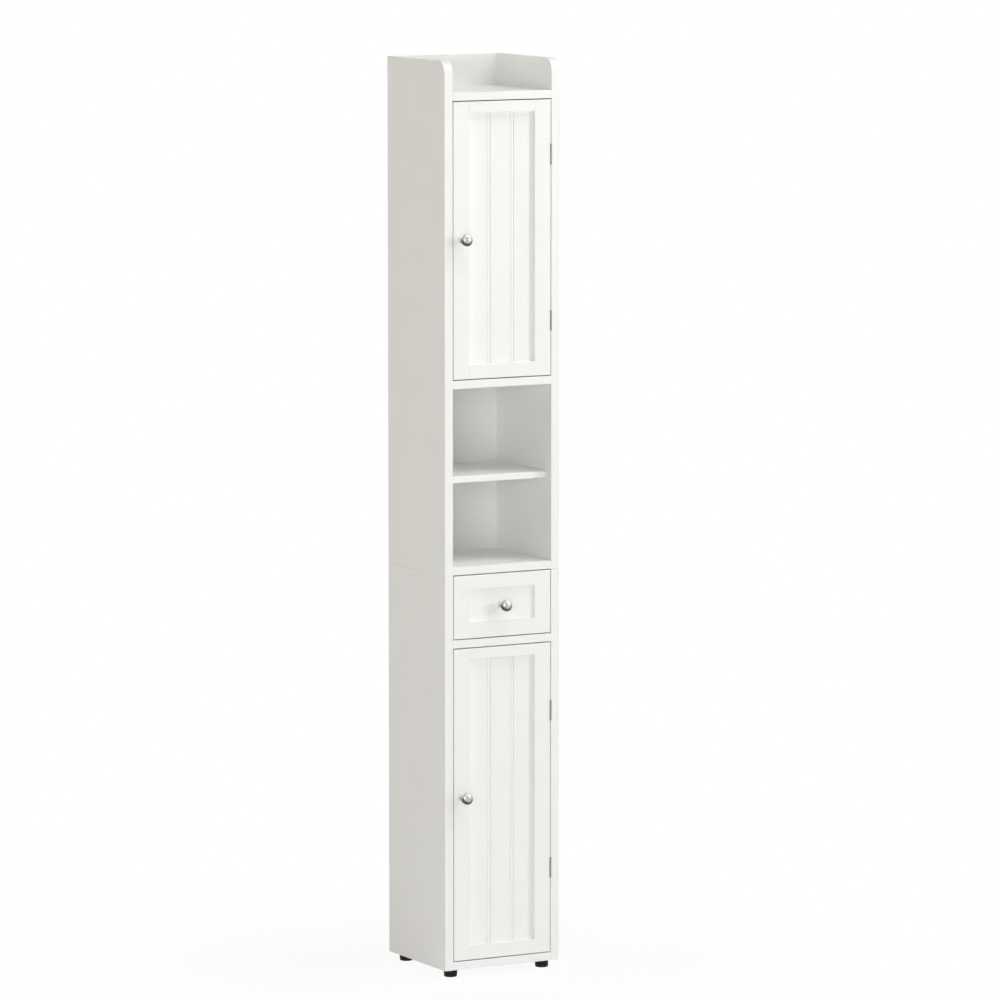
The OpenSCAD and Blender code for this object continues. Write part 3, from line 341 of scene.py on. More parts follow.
materials = {
    "painted_board": plainMaterial("sprayedSatinPaint", boardPaint),
    "painted_sheet": plainMaterial("rolledPaintOnHardboard", sheetPaint),
    "black_plastic": plainMaterial("mouldedPolypropylene", footPlastic),
    "pale_plastic": plainMaterial("mouldedABS", housingPlastic),
    "pale_rubber": plainMaterial("mouldedRubber", bumperRubber),
    "magnet": plainMaterial("sinteredFerrite", ferrite),
    "plated_steel": plainMaterial("nickelPlatedSteel", platedSteel, 1.0),
    "cast_zinc": plainMaterial("dieCastZinc", castZinc, 1.0),
    "brushed_nickel": brushedNickel("brushedNickelPlate", knobNickel),
    "beech": turnedBeech("turnedBeech", dowelBeech),
}
print("materials made:", len(materials))


for name, node in frame["nodes"].items():
    slotName = node.data.materials[0].name
    node.data.materials[0] = materials[slotName]
    node["slotName"] = slotName
print("CAD nodes finished")


bodyOf = {}
for body, nodes in frame["record"]["behaviour"]["bodies"].items():
    for node in nodes:
        bodyOf[node] = body


def nodeCopy(name):
    # a CAD node's mesh with its loose triangles joined
    bm = bmesh.new()
    bm.from_mesh(frame["nodes"][name].data)
    bmesh.ops.remove_doubles(bm, verts=bm.verts, dist=cadWeld)
    return bm


def solidsOf(bm):
    # the vertices of each separate solid in a mesh
    found, solids = set(), []
    for start in bm.verts:
        if start in found:
            continue
        found.add(start)
        solid, edge = [], [start]
        while edge:
            vert = edge.pop()
            solid.append(vert)
            for link in vert.link_edges:
                other = link.other_vert(vert)
                if other not in found:
                    found.add(other)
                    edge.append(other)
        solids.append(solid)
    return solids


def boxOf(points):
    # the lowest and the highest corner of some points
    return (Vector([min(p[i] for p in points) for i in range(3)]),
            Vector([max(p[i] for p in points) for i in range(3)]))


def solidBoxes(name):
    # the box of each solid in a CAD node
    bm = nodeCopy(name)
    boxes = [boxOf([vert.co for vert in solid]) for solid in solidsOf(bm)]
    bm.free()
    return boxes


def meshFrom(bm, name):
    mesh = bpy.data.meshes.new(name)
    bm.normal_update()
    bm.to_mesh(mesh)
    bm.free()
    return mesh


def finishPiece(name, mesh, replaced, smoothDegrees=35, slotName=None):
    # one visible piece: its shading, its finish, and the body and CAD nodes it stands for
    piece = bpy.data.objects.new(name, mesh)
    scene.collection.objects.link(piece)
    slotName = slotName or frame["nodes"][replaced[0]]["slotName"]
    mesh.materials.clear()
    mesh.materials.append(materials[slotName])
    for polygon in mesh.polygons:
        polygon.material_index = 0
    mesh.shade_smooth()
    mesh.set_sharp_from_angle(angle=math.radians(smoothDegrees))
    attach(piece, bodyOf[replaced[0]])
    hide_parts(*replaced)


# Round pieces are turned on a lathe from a profile in millimetres, as (radius, height) points.
def arcPoints(centre, radius, fromDegrees, toDegrees, count):
    # points on an arc in the profile, with this many chords
    points = []
    for i in range(count + 1):
        angle = math.radians(fromDegrees + (toDegrees - fromDegrees) * i / count)
        points.append((centre[0] + radius * math.cos(angle), centre[1] + radius * math.sin(angle)))
    return points


def latheMesh(name, profile, places, steps, aim, closed=False):
    # turns the profile round an axis that leaves each place along the aim, and keeps where each
    # point lies on the profile in the lathe attribute
    bm = bmesh.new()
    turned = bm.verts.layers.float_vector.new("lathe")
    turn = Vector((0, 0, 1)).rotation_difference(Vector(aim))
    for place in places:
        rows, run, last = [], 0.0, profile[0]
        for point in profile:
            run += math.dist(point, last)
            last = point
            row = []
            for i in range(steps if point[0] > 0 else 1):
                angle = 2 * math.pi * i / steps
                across, up = point[0] * math.cos(angle), point[0] * math.sin(angle)
                vert = bm.verts.new(Vector(place) + turn @ Vector((across, up, point[1])) * mm)
                vert[turned] = (across, up, run)
                row.append(vert)
            rows.append(row)
        if closed:
            rows.append(rows[0])
        for one, two in zip(rows, rows[1:]):
            for i in range(steps):
                j = (i + 1) % steps
                corners = [one[i % len(one)], one[j % len(one)],
                           two[j % len(two)], two[i % len(two)]]
                bm.faces.new(list(dict.fromkeys(corners)))
        if not closed and len(rows[0]) > 1:
            bm.faces.new(rows[0])
    bmesh.ops.recalc_face_normals(bm, faces=bm.faces)
    return meshFrom(bm, name)


# Knobs: a rose on the wood, a stem that flares into a thick round head, and a ring in its face.
knob = {"roseRadius": 6.5, "roseHeight": 1.6, "roseEdge": 0.3, "roseRound": 0.6,
        "stemRadius": 4.2, "cove": 1, "flare": 2.5, "headRadius": 11, "headDepth": 14,
        "edgeRadius": 4, "crownUp": 5.5, "length": 30, "ringRadius": 6.4, "ringWidth": 0.7,
        "ringDepth": 0.35, "ringFlat": 0.4, "ringClear": 0.1, "screwRadius": 2,
        "screwDepth": 11.5, "roseSteps": 4, "coveSteps": 5, "flareSteps": 8, "edgeSteps": 12,
        "crownSteps": 10, "faceSteps": 16, "steps": 96}


def knobProfile():
    length, head, edge = knob["length"], knob["headDepth"], knob["edgeRadius"]
    edgeX = knob["headRadius"] - edge
    faceZ = length - knob["crownUp"]
    # the crown is a dome that runs smoothly into the head's rounded edge
    domeRadius = ((edgeX ** 2 + knob["crownUp"] ** 2 - edge ** 2)
                  / (2 * (knob["crownUp"] - edge)))
    domeZ = length - domeRadius
    meet = math.degrees(math.atan2(faceZ - domeZ, edgeX))
    rose, rounded = knob["roseRadius"], knob["roseRound"]
    stem, cove, flare = knob["stemRadius"], knob["cove"], knob["flare"]
    points = [(knob["screwRadius"], knob["screwDepth"]), (knob["screwRadius"], 0),
              (rose - knob["roseEdge"], 0), (rose, knob["roseEdge"])]
    points += arcPoints((rose - rounded, knob["roseHeight"] - rounded), rounded, 0, 90,
                        knob["roseSteps"])
    points += arcPoints((stem + cove, knob["roseHeight"] + cove), cove, 270, 180,
                        knob["coveSteps"])
    points += arcPoints((stem + flare, length - head - flare), flare, 180, 90,
                        knob["flareSteps"])
    points += arcPoints((edgeX, length - head + edge), edge, 270, 360, knob["edgeSteps"])
    points += arcPoints((edgeX, faceZ), edge, 0, meet, knob["crownSteps"])
    ring, half, steps = knob["ringRadius"], knob["ringWidth"] / 2, knob["faceSteps"]
    meetX = domeRadius * math.cos(math.radians(meet))
    across = [meetX * i / steps for i in range(1, steps)]
    across = [x for x in across if abs(x - ring) > half + knob["ringClear"]]
    flat = half * knob["ringFlat"]  # the ring is a shallow groove with a flat floor
    sunk = {ring + half: 0, ring + flat: 1, ring - flat: 1, ring - half: 0}
    for x in sorted(across + list(sunk), reverse=True):
        up = domeZ + math.sqrt(domeRadius ** 2 - x ** 2)
        points.append((x, up - sunk.get(x, 0) * knob["ringDepth"]))
    return points + [(0, length)]


for name in ("upper_door_knob", "lower_door_knob", "drawer_knob"):
    low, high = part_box(name)
    onWood = ((low[0] + high[0]) / 2, high[1], (low[2] + high[2]) / 2)
    mesh = latheMesh(name, knobProfile(), [onWood], knob["steps"], (0, -1, 0))
    finishPiece(name + "_turned", mesh, [name])
print("knobs turned")


# Geometry Nodes: what every tree below shares. Its inputs carry the names that its sizes have.
def newTree(name, sizes, rule):
    # a tree with its inputs and its rule, and the sockets that are known by name. A rule is a
    # list of sums: the result's name, the operation, and its values, which are numbers, inputs,
    # x, y or z, or earlier results
    tree = bpy.data.node_groups.new(name, "GeometryNodeTree")
    tree.is_modifier = True
    tree.interface.new_socket("Geometry", in_out="INPUT", socket_type="NodeSocketGeometry")
    for label, value in sizes.items():
        kind = "NodeSocketInt" if isinstance(value, int) else "NodeSocketFloat"
        tree.interface.new_socket(label, in_out="INPUT", socket_type=kind)
    tree.interface.new_socket("Material", in_out="INPUT", socket_type="NodeSocketMaterial")
    tree.interface.new_socket("Geometry", in_out="OUTPUT", socket_type="NodeSocketGeometry")
    known = {socket.name: socket for socket in addNode(tree, "NodeGroupInput").outputs}
    known["place"] = addNode(tree, "GeometryNodeInputPosition").outputs[0]
    parts = addNode(tree, "ShaderNodeSeparateXYZ", None, {0: known["place"]})
    known.update({"x": parts.outputs["X"], "y": parts.outputs["Y"], "z": parts.outputs["Z"]})
    for result, operation, *values in rule:
        inputs = {i: known.get(value, value) for i, value in enumerate(values)}
        made = addNode(tree, "ShaderNodeMath", {"operation": operation}, inputs)
        known[result] = made.outputs[0]
    return tree, known


def closeTree(tree, known, geometry):
    # the export drops instances, so they are made real; then the piece gets its material
    real = addNode(tree, "GeometryNodeRealizeInstances", None, {"Geometry": geometry})
    finished = addNode(tree, "GeometryNodeSetMaterial", None,
                       {"Geometry": real.outputs[0], "Material": known["Material"]})
    addNode(tree, "NodeGroupOutput", None, {"Geometry": finished.outputs[0]})


def spread(tree, known, piece, byChance=False):
    # the same piece at each point, +Z along the aim; a screw stops at an angle that chance gives
    aim = addNode(tree, "GeometryNodeInputNamedAttribute", {"data_type": "FLOAT_VECTOR"},
                  {"Name": "aim"})
    turned = addNode(tree, "FunctionNodeAlignRotationToVector", {"axis": "Z"},
                     {"Vector": aim.outputs[0]})
    if byChance:
        chance = addNode(tree, "FunctionNodeRandomValue", {"data_type": "FLOAT"},
                         {2: 0.0, 3: 2 * math.pi, "Seed": known["seed"]})
        spin = addNode(tree, "FunctionNodeAxisAngleToRotation", None,
                       {"Axis": (0, 0, 1), "Angle": chance.outputs[1]})
        turned = addNode(tree, "FunctionNodeRotateRotation", {"rotation_space": "LOCAL"},
                         {"Rotation": turned.outputs[0], "Rotate By": spin.outputs[0]})
    points = addNode(tree, "GeometryNodeMeshToPoints", None, {"Mesh": known["Geometry"]})
    placed = addNode(tree, "GeometryNodeInstanceOnPoints", None,
                     {"Points": points.outputs[0], "Instance": piece,
                      "Rotation": turned.outputs[0]})
    return placed.outputs[0]


def roundBar(tree, known, length):
    # a closed round bar along +Z, as thick at each height as the rule named rod says
    line = addNode(tree, "GeometryNodeCurvePrimitiveLine", None,
                   {"Start": (0, 0, 0), "End": (0, 0, 1)})
    steps = addNode(tree, "GeometryNodeResampleCurve", None,
                    {"Curve": line.outputs[0], "Count": known["rings"]})
    stretch = addNode(tree, "ShaderNodeCombineXYZ", None, {"X": 1.0, "Y": 1.0, "Z": length})
    bar = addNode(tree, "GeometryNodeTransform", None,
                  {"Geometry": steps.outputs[0], "Scale": stretch.outputs[0]})
    circle = addNode(tree, "GeometryNodeCurvePrimitiveCircle", {"mode": "RADIUS"},
                     {"Resolution": known["sides"], "Radius": 1.0})
    mesh = addNode(tree, "GeometryNodeCurveToMesh", None,
                   {"Curve": bar.outputs[0], "Profile Curve": circle.outputs[0],
                    "Scale": known["rod"], "Fill Caps": True})
    return mesh.outputs[0]


def closedBlock(tree, face, height):
    # a flat face drawn out along +Z, with its underside closed
    drawn = addNode(tree, "GeometryNodeExtrudeMesh", {"mode": "FACES"},
                    {"Mesh": face, "Offset": (0, 0, 1), "Offset Scale": height,
                     "Individual": False})
    under = addNode(tree, "GeometryNodeFlipFaces", None, {"Mesh": face})
    joined = addNode(tree, "GeometryNodeJoinGeometry", None, {"Geometry": under.outputs[0]})
    tree.links.new(drawn.outputs[0], joined.inputs["Geometry"])
    merged = addNode(tree, "GeometryNodeMergeByDistance", None,
                     {"Geometry": joined.outputs[0], "Distance": blockWeld})
    return merged.outputs[0]


def pointMesh(name, places):
    # one vertex at each place, and the way that the piece on it points
    mesh = bpy.data.meshes.new(name)
    mesh.from_pydata([place["head"] for place in places], [], [])
    aim = mesh.attributes.new("aim", "FLOAT_VECTOR", "POINT")
    for i, place in enumerate(places):
        aim.data[i].vector = place["aim"]
    return mesh


def grow(tree, name, places, values, slotName):
    # runs a tree on the places and hands back the plain mesh that comes out
    holder = bpy.data.objects.new(name + "_base", pointMesh(name + "_points", places))
    scene.collection.objects.link(holder)
    modifier = holder.modifiers.new(name, "NODES")
    modifier.node_group = tree
    values = dict(values, Material=materials[slotName])
    for item in tree.interface.items_tree:
        if item.in_out == "INPUT" and item.name in values:
            modifier[item.identifier] = values[item.name]
    depsgraph = bpy.context.evaluated_depsgraph_get()
    mesh = bpy.data.meshes.new_from_object(holder.evaluated_get(depsgraph), depsgraph=depsgraph)
    holder.modifiers.remove(modifier)
    bpy.data.objects.remove(holder)
    mesh.name = name
    return mesh


nearby = 0.05 * mm  # points this close to an end or to the rim belong to it


def fromAxis(point, middle, axis):
    # how far a point lies from the long axis through a solid's middle
    return math.dist([point[i] for i in range(3) if i != axis],
                     [middle[i] for i in range(3) if i != axis])


def solidPlaces(name):
    # for each solid of a CAD node: the middle of its wider end, the way it points from there,
    # its length, the radius of each end, and the height of the head
    bm = nodeCopy(name)
    places = []
    for solid in solidsOf(bm):
        points = [vert.co for vert in solid]
        low, high = boxOf(points)
        size, middle = high - low, (low + high) / 2
        axis = max(range(3), key=lambda i: size[i])
        ends = []
        for end, sign in ((low, 1), (high, -1)):
            near = [point for point in points if abs(point[axis] - end[axis]) < nearby]
            wide = max(fromAxis(point, middle, axis) for point in near)
            ends.append((wide, end[axis], sign))
        wide, at, sign = max(ends)
        head, aim = middle.copy(), Vector((0, 0, 0))
        head[axis], aim[axis] = at, sign
        under = [abs(point[axis] - at) for point in points
                 if fromAxis(point, middle, axis) > wide - nearby]
        places.append({"head": head, "aim": aim, "length": size[axis], "wide": wide,
                       "narrow": min(ends)[0], "headHeight": max(under)})
    bm.free()
    return places


# Screws: a cross cut into the head, and a three-sided ridge wound round the core as the thread.
screw = {"core share": 0.74, "pitch": 1.25 * mm, "ridge": 0.32 * mm, "thread from": 0.34,
         "thread to": 0.86, "turn steps": 16, "tip slope": 0.5, "tip radius": 0.12 * mm,
         "cross width": 0.62 * mm, "cross depth": 1.2 * mm, "cross share": 1.15,
         "rings": 61, "sides": 24, "seed": 7}
panScrew = dict(screw, **{"core share": 0.82, "pitch": 0.7 * mm, "ridge": 0.2 * mm,
                          "thread from": 0.3, "cross width": 0.9 * mm, "cross depth": 1.5 * mm,
                          "cross share": 1.1, "crown": 0.38, "seat": 0.02 * mm})
core = [("core", "MULTIPLY", "shank radius", "core share")]
woodHead = [  # a cone of 45 degrees, which needs no height
    ("cone", "SUBTRACT", "head radius", "z"),
    ("body", "MAXIMUM", "cone", "core"),
]
panHead = [  # a dome that ends flat on the wood
    ("up", "DIVIDE", "z", "head height"),
    ("missing", "SUBTRACT", 1.0, "up"),
    ("square", "MULTIPLY", "missing", "missing"),
    ("lost", "MULTIPLY", "square", "crown"),
    ("kept", "SUBTRACT", 1.0, "lost"),
    ("dome", "SQRT", "kept"),
    ("head", "MULTIPLY", "head radius", "dome"),
    ("head end", "ADD", "head height", "seat"),  # a hair more, so that its last ring counts
    ("in head", "LESS_THAN", "z", "head end"),
    ("domed", "MULTIPLY", "head", "in head"),
    ("body", "MAXIMUM", "domed", "core"),
]
shank = [
    ("left", "SUBTRACT", "length", "z"),
    ("cone tip", "MULTIPLY", "left", "tip slope"),
    ("tip", "ADD", "cone tip", "tip radius"),
    ("rod", "MINIMUM", "body", "tip"),
    ("cross length", "MULTIPLY", "head radius", "cross share"),
    ("cross height", "MULTIPLY", "cross depth", 2.0),  # half of the cutter stands out
    ("start", "MULTIPLY", "length", "thread from"),
    ("end", "MULTIPLY", "length", "thread to"),
    ("run", "SUBTRACT", "end", "start"),
    ("turns", "DIVIDE", "run", "pitch"),
    ("wound", "SUBTRACT", "shank radius", "ridge"),
]


def screwTree(name, sizes, head):
    # the sizes that the CAD screw gives come on top of those above
    measured = dict.fromkeys(("length", "head radius", "shank radius", "head height"), 0.0)
    tree, known = newTree(name, dict(sizes, **measured), core + head + shank)
    bar = roundBar(tree, known, known["length"])
    cut = addNode(tree, "GeometryNodeMeshBoolean",
                  {"operation": "DIFFERENCE", "solver": "EXACT"},
                  {"Mesh 1": bar, "Self Intersection": True})
    size = addNode(tree, "ShaderNodeCombineXYZ", None,
                   {"X": known["cross length"], "Y": known["cross width"],
                    "Z": known["cross height"]})
    for degrees in (0, 90):
        arm = addNode(tree, "GeometryNodeMeshCube", None, {"Size": size.outputs[0]})
        turned = addNode(tree, "GeometryNodeTransform", None,
                         {"Geometry": arm.outputs[0], "Rotation": (0, 0, math.radians(degrees))})
        tree.links.new(turned.outputs[0], cut.inputs["Mesh 2"])
    spiral = addNode(tree, "GeometryNodeCurveSpiral", None,
                     {"Resolution": known["turn steps"], "Rotations": known["turns"],
                      "Start Radius": known["wound"], "End Radius": known["wound"],
                      "Height": known["run"]})
    ridge = addNode(tree, "GeometryNodeCurvePrimitiveCircle", {"mode": "RADIUS"},
                    {"Resolution": 3, "Radius": known["ridge"]})
    thread = addNode(tree, "GeometryNodeCurveToMesh", None,
                     {"Curve": spiral.outputs[0], "Profile Curve": ridge.outputs[0],
                      "Fill Caps": True})
    lift = addNode(tree, "ShaderNodeCombineXYZ", None, {"Z": known["start"]})
    raised = addNode(tree, "GeometryNodeTransform", None,
                     {"Geometry": thread.outputs[0], "Translation": lift.outputs[0]})
    joined = addNode(tree, "GeometryNodeJoinGeometry", None, {"Geometry": cut.outputs[0]})
    tree.links.new(raised.outputs[0], joined.inputs["Geometry"])
    closeTree(tree, known, spread(tree, known, joined.outputs[0], byChance=True))
    return tree


woodTree = screwTree("woodScrew", screw, woodHead)
panTree = screwTree("panScrew", panScrew, panHead)
for name in ("short_screws", "foot_screws", "upper_door_screws", "lower_door_screws",
             "drawer_screws", "upper_door_knob_screw", "lower_door_knob_screw",
             "drawer_knob_screw"):
    places = solidPlaces(name)
    tree, sizes = (panTree, panScrew) if "knob" in name else (woodTree, screw)
    first = places[0]  # the screws of one node are alike
    values = dict(sizes, **{"length": first["length"], "head radius": first["wide"],
                            "shank radius": first["narrow"],
                            "head height": first["headHeight"]})
    mesh = grow(tree, name + "_cut", places, values, "plated_steel")
    finishPiece(mesh.name, mesh, [name])
print("screws made")


# Shelf pins: a peg with a rounded end, and the ledge that the shelf lies on.
shelfPin = {"peg radius": 2.5 * mm, "peg length": 9 * mm, "peg end": 0.7 * mm,
            "peg from": 7.6 * mm, "ledge width": 9 * mm, "ledge depth": 8 * mm,
            "ledge height": 5 * mm, "corner": 1.3 * mm, "corner steps": 5,
            "rings": 28, "sides": 24}


def shelfPinTree():
    tree, known = newTree("shelfPin", shelfPin, [
        ("left", "SUBTRACT", "peg length", "z"),
        ("neck", "SUBTRACT", "peg radius", "peg end"),
        ("blunt", "ADD", "left", "neck"),
        ("rod", "MINIMUM", "peg radius", "blunt"),
        ("ledge across", "MULTIPLY", "ledge height", -0.5),
        ("ledge along", "MULTIPLY", "ledge depth", 0.5),
    ])
    bar = roundBar(tree, known, known["peg length"])
    lift = addNode(tree, "ShaderNodeCombineXYZ", None, {"Z": known["peg from"]})
    peg = addNode(tree, "GeometryNodeTransform", None,
                  {"Geometry": bar, "Translation": lift.outputs[0]})
    outline = addNode(tree, "GeometryNodeCurvePrimitiveQuadrilateral", None,
                      {"Width": known["ledge width"], "Height": known["ledge depth"]})
    softened = addNode(tree, "GeometryNodeFilletCurve", {"mode": "POLY"},
                       {"Curve": outline.outputs[0], "Count": known["corner steps"],
                        "Radius": known["corner"]})
    face = addNode(tree, "GeometryNodeFillCurve", {"mode": "NGONS"},
                   {"Curve": softened.outputs[0]})
    block = closedBlock(tree, face.outputs[0], known["ledge height"])
    place = addNode(tree, "ShaderNodeCombineXYZ", None,
                    {"X": known["ledge across"], "Z": known["ledge along"]})
    quarter = math.radians(90)  # turned so, the ledge's depth runs along the pin
    ledge = addNode(tree, "GeometryNodeTransform", None,
                    {"Geometry": block, "Translation": place.outputs[0],
                     "Rotation": (quarter, 0, quarter)})
    joined = addNode(tree, "GeometryNodeJoinGeometry", None, {"Geometry": ledge.outputs[0]})
    tree.links.new(peg.outputs[0], joined.inputs["Geometry"])
    closeTree(tree, known, spread(tree, known, joined.outputs[0]))
    return tree


places = solidPlaces("shelf_pins")
mesh = grow(shelfPinTree(), "shelf_pins_formed", places, shelfPin, "plated_steel")
finishPiece(mesh.name, mesh, ["shelf_pins"])
print("shelf pins made:", len(places))


# Beech dowels with twelve flutes for the glue and bevelled ends.
dowel = {"radius": 4 * mm, "length": 30 * mm, "bevel": 1.2 * mm, "flute": 0.35 * mm,
         "flutes": 12.0, "rings": 26, "sides": 48}


def dowelTree():
    # a round bar, drawn in towards its axis where the flutes run
    tree, known = newTree("flutedDowel", dowel, [
        ("blunt", "SUBTRACT", "radius", "bevel"),
        ("near", "ADD", "blunt", "z"),
        ("left", "SUBTRACT", "length", "z"),
        ("far", "ADD", "blunt", "left"),
        ("ends", "MINIMUM", "near", "far"),
        ("rod", "MINIMUM", "radius", "ends"),
        ("angle", "ARCTAN2", "y", "x"),
        ("phase", "MULTIPLY", "angle", "flutes"),
        ("wave", "COSINE", "phase"),
        ("crest", "MAXIMUM", "wave", 0.0),
        ("groove", "MULTIPLY", "crest", "flute"),
        ("part", "DIVIDE", "groove", "radius"),
        ("share", "SUBTRACT", 1.0, "part"),
    ])
    bar = roundBar(tree, known, known["length"])
    scale = addNode(tree, "ShaderNodeCombineXYZ", None,
                    {"X": known["share"], "Y": known["share"], "Z": 1.0})
    moved = addNode(tree, "ShaderNodeVectorMath", {"operation": "MULTIPLY"},
                    {0: known["place"], 1: scale.outputs[0]})
    fluted = addNode(tree, "GeometryNodeSetPosition", None,
                     {"Geometry": bar, "Position": moved.outputs[0]})
    closeTree(tree, known, spread(tree, known, fluted.outputs[0]))
    return tree


places = solidPlaces("dowels")
mesh = grow(dowelTree(), "dowels_fluted", places, dowel, "beech")
finishPiece(mesh.name, mesh, ["dowels"], smoothDegrees=25)
print("dowels made:", len(places))


# Door panels: one sheet each, whose front has two beads, each between two channels.
panel = {"bead offset": 26 * mm, "bead half": 4.1 * mm, "channel": 1.25 * mm,
         "depth": 1.9 * mm, "column": 0.25 * mm}


def panelTree():
    # a grid one face deep is bent to the panel's plan, and the plan is drawn up to its height
    sizes = dict(panel, width=0.0, height=0.0, thickness=0.0)
    tree, known = newTree("beadedPanel", sizes, [
        ("spaces", "DIVIDE", "width", "column"),
        ("whole spaces", "ROUND", "spaces"),
        ("columns", "ADD", "whole spaces", 1.0),
        ("side", "ABSOLUTE", "x"),
        ("off bead", "SUBTRACT", "side", "bead offset"),
        ("from bead", "ABSOLUTE", "off bead"),
        ("crest half", "SUBTRACT", "bead half", "channel"),
        ("share", "DIVIDE", "from bead", "crest half"),
        ("square", "MULTIPLY", "share", "share"),
        ("missing", "SUBTRACT", 1.0, "square"),
        ("kept", "MAXIMUM", "missing", 0.0),
        ("arc", "SQRT", "kept"),
        ("drop", "SUBTRACT", 1.0, "arc"),
        ("sunk", "MULTIPLY", "depth", "drop"),
        ("in bead", "LESS_THAN", "from bead", "bead half"),
        ("front", "MULTIPLY", "sunk", "in bead"),
        ("rear", "GREATER_THAN", "y", 0.0),
        ("not rear", "SUBTRACT", 1.0, "rear"),
        ("ahead", "MULTIPLY", "front", "not rear"),
        ("behind", "MULTIPLY", "rear", "thickness"),
        ("sheet y", "ADD", "ahead", "behind"),
    ])
    grid = addNode(tree, "GeometryNodeMeshGrid", None,
                   {"Size X": known["width"], "Size Y": known["thickness"],
                    "Vertices X": known["columns"], "Vertices Y": 2})
    target = addNode(tree, "ShaderNodeCombineXYZ", None, {"X": known["x"], "Y": known["sheet y"]})
    plan = addNode(tree, "GeometryNodeSetPosition", None,
                   {"Geometry": grid.outputs[0], "Position": target.outputs[0]})
    sheet = closedBlock(tree, plan.outputs[0], known["height"])
    closeTree(tree, known, spread(tree, known, sheet))
    return tree


beadTree = panelTree()
for name in ("upper_door_panel", "lower_door_panel"):
    low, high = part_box(name)
    values = dict(panel, width=high[0] - low[0], height=high[2] - low[2],
                  thickness=high[1] - low[1])
    place = {"head": ((low[0] + high[0]) / 2, low[1], low[2]), "aim": (0, 0, 1)}
    mesh = grow(beadTree, name + "_beaded", [place], values, "painted_board")
    finishPiece(mesh.name, mesh, [name])
print("door panels beaded")


# Feet: round glides with a soft sole, a moulded groove and a bore for the screw.
foot = {"radius": 13.5, "height": 16, "soleRadius": 11.3, "soleEdge": 1.6, "taper": 0.2,
        "taperFrom": 7, "grooveFrom": 12.4, "grooveTo": 13.2, "grooveDepth": 0.5,
        "grooveSlope": 0.1, "topEdge": 0.6, "boreRadius": 4.5, "boreDepth": 5, "boreEdge": 0.4,
        "sinkRadius": 3.1, "sinkDepth": 1.4, "screwRadius": 1.75, "soleToDegrees": 350,
        "soleSteps": 6, "topSteps": 4, "steps": 64}


def footProfile():
    outer, bore, edge = foot["radius"], foot["boreRadius"], foot["topEdge"]
    sunk, slope = outer - foot["grooveDepth"], foot["grooveSlope"]
    points = [(foot["screwRadius"], foot["height"]),
              (foot["screwRadius"], foot["boreDepth"] + foot["sinkDepth"]),
              (foot["sinkRadius"], foot["boreDepth"]), (bore, foot["boreDepth"]),
              (bore, foot["boreEdge"]), (bore + foot["boreEdge"], 0)]
    points += arcPoints((foot["soleRadius"], foot["soleEdge"]), foot["soleEdge"], 270,
                        foot["soleToDegrees"], foot["soleSteps"])
    points += [(outer - foot["taper"], foot["taperFrom"]),
               (outer - foot["taper"] / 2, foot["grooveFrom"] - 2 * slope),
               (sunk, foot["grooveFrom"] + slope), (sunk, foot["grooveTo"] - slope),
               (outer, foot["grooveTo"] + 2 * slope)]
    return points + arcPoints((outer - edge, foot["height"] - edge), edge, 0, 90,
                              foot["topSteps"])


places = [((low[0] + high[0]) / 2, (low[1] + high[1]) / 2, low[2])
          for low, high in solidBoxes("feet")]
mesh = latheMesh("feet_moulded", footProfile(), places, foot["steps"], (0, 0, 1), closed=True)
finishPiece(mesh.name, mesh, ["feet"])


# Rear bumpers: a shallow dome on a stem that is pushed into the board's edge.
bumper = {"domeRadius": 8.125, "out": 4, "radius": 7, "lip": 0.3, "domeFrom": 0.2,
          "domeSteps": 12, "stemRadius": 2.5, "stemLength": 10, "stemEdge": 0.4, "steps": 48}


def bumperProfile():
    stem, inner, edge = bumper["stemRadius"], -bumper["stemLength"], bumper["stemEdge"]
    points = [(0, inner), (stem - edge, inner), (stem, inner + edge), (stem, 0),
              (bumper["radius"] - bumper["lip"], 0)]
    middle, steps = bumper["out"] - bumper["domeRadius"], bumper["domeSteps"]
    for i in range(1, steps):
        rise = (bumper["out"] - bumper["domeFrom"]) * math.sin(math.radians(90 * i / steps))
        height = bumper["domeFrom"] + rise
        points.append((math.sqrt(bumper["domeRadius"] ** 2 - (height - middle) ** 2), height))
    return points + [(0, bumper["out"])]


places = [((low[0] + high[0]) / 2, high[1] - bumper["out"] * mm, (low[2] + high[2]) / 2)
          for low, high in solidBoxes("rear_bumpers")]
mesh = latheMesh("rear_bumpers_moulded", bumperProfile(), places, bumper["steps"], (0, 1, 0))
finishPiece(mesh.name, mesh, ["rear_bumpers"])
print("feet and bumpers made")


# Side boards: each comes in two lengths, and the edges that meet are sanded off. That draws the
# joint line across the side and the front edge.
seam = {"eased": 0.7 * mm, "onPlane": 1e-7, "joined": 0.005 * mm}


def easeEdge(bm, corner, outwards):
    # cuts one long edge of a board off at 45 degrees and closes the cut
    normal = Vector(outwards).normalized()
    back = Vector(corner) - normal * seam["eased"] / math.sqrt(2)
    parts = bm.verts[:] + bm.edges[:] + bm.faces[:]
    cut = bmesh.ops.bisect_plane(bm, geom=parts, dist=seam["onPlane"], plane_co=back,
                                 plane_no=normal, clear_outer=True)
    rim = [part for part in cut["geom_cut"] if isinstance(part, bmesh.types.BMEdge)]
    bmesh.ops.holes_fill(bm, edges=rim, sides=0)


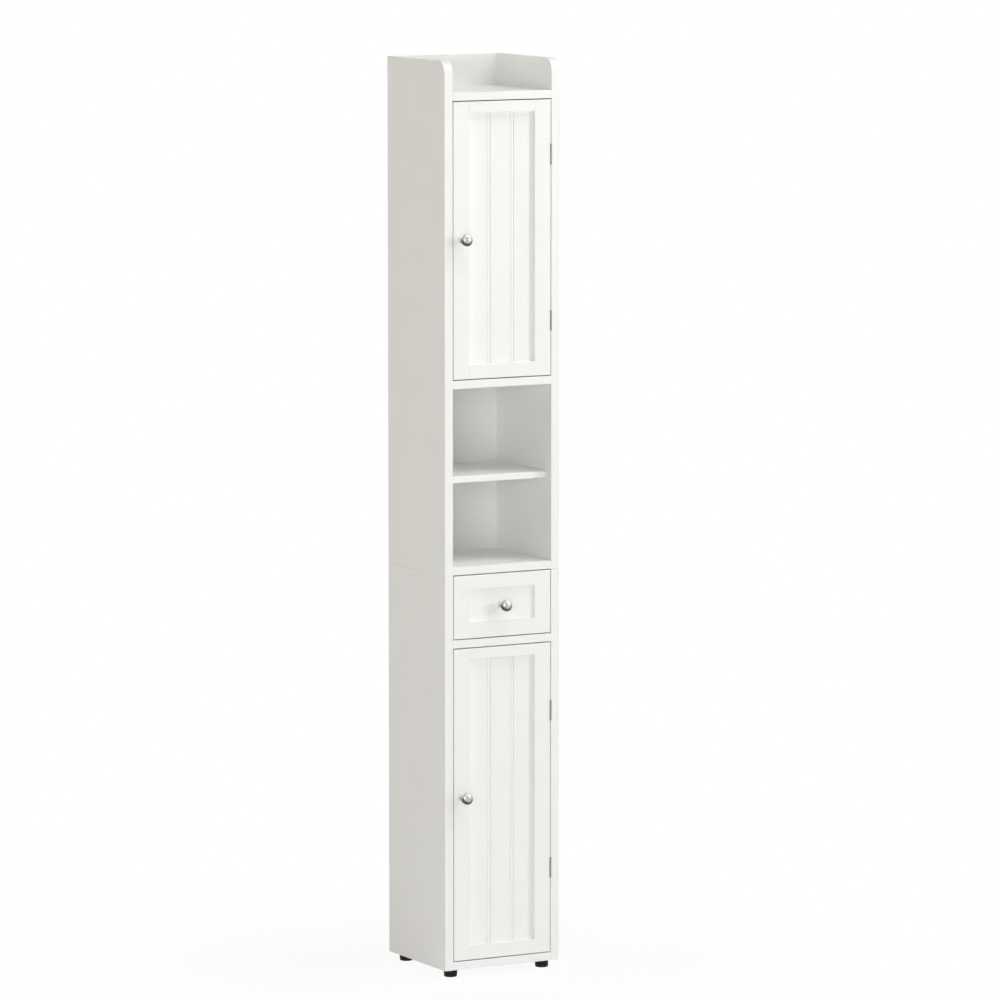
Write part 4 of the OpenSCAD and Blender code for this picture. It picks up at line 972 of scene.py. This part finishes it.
for name in ("lower_side_left", "lower_side_right", "upper_side_left", "upper_side_right"):
    low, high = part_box(name)
    towards = 1 if name.startswith("lower") else -1  # the joint is a lower board's top end
    joint = high[2] if towards > 0 else low[2]
    sideways = -1 if name.endswith("left") else 1
    outer = low[0] if sideways < 0 else high[0]
    bm = nodeCopy(name)
    easeEdge(bm, (outer, low[1], joint), (sideways, 0, towards))
    easeEdge(bm, (outer, low[1], joint), (0, -1, towards))
    bmesh.ops.remove_doubles(bm, verts=bm.verts, dist=seam["joined"])
    bmesh.ops.triangulate(bm, faces=[face for face in bm.faces if len(face.verts) > 4])
    finishPiece(name + "_eased", meshFrom(bm, name + "_eased"), [name], smoothDegrees=1)
print("side boards eased")


# Magnets: a ferrite block between two steel plates that stand a little proud of it.
magnet = {"plate": 1.2 * mm, "proud": 0.2 * mm, "blockEdge": 0.5 * mm, "plateEdge": 0.25 * mm,
          "edgeSteps": 3}


def softBlock(bm, low, high, edge):
    # a block with rounded edges
    size = [high[i] - low[i] for i in range(3)]
    middle = Matrix.Translation([(low[i] + high[i]) / 2 for i in range(3)])
    made = bmesh.ops.create_cube(bm, size=1, matrix=middle @ Matrix.Diagonal(size + [1]))
    edges = list({link for vert in made["verts"] for link in vert.link_edges})
    bmesh.ops.bevel(bm, geom=edges, offset=edge, segments=magnet["edgeSteps"], profile=0.5,
                    affect="EDGES")


blocks, plates = bmesh.new(), bmesh.new()
thick, proud = magnet["plate"], magnet["proud"]
for low, high in solidBoxes("catch_magnets"):
    softBlock(blocks, (low[0] + thick, low[1] + proud, low[2]),
              (high[0] - thick, high[1], high[2]), magnet["blockEdge"])
    for x in (low[0], high[0] - thick):
        softBlock(plates, (x, low[1], low[2]), (x + thick, high[1] - proud, high[2]),
                  magnet["plateEdge"])
finishPiece("catch_magnet_blocks", meshFrom(blocks, "catch_magnet_blocks"), ["catch_magnets"])
finishPiece("catch_pole_plates", meshFrom(plates, "catch_pole_plates"), ["catch_magnets"],
            slotName="plated_steel")
print("catches made")
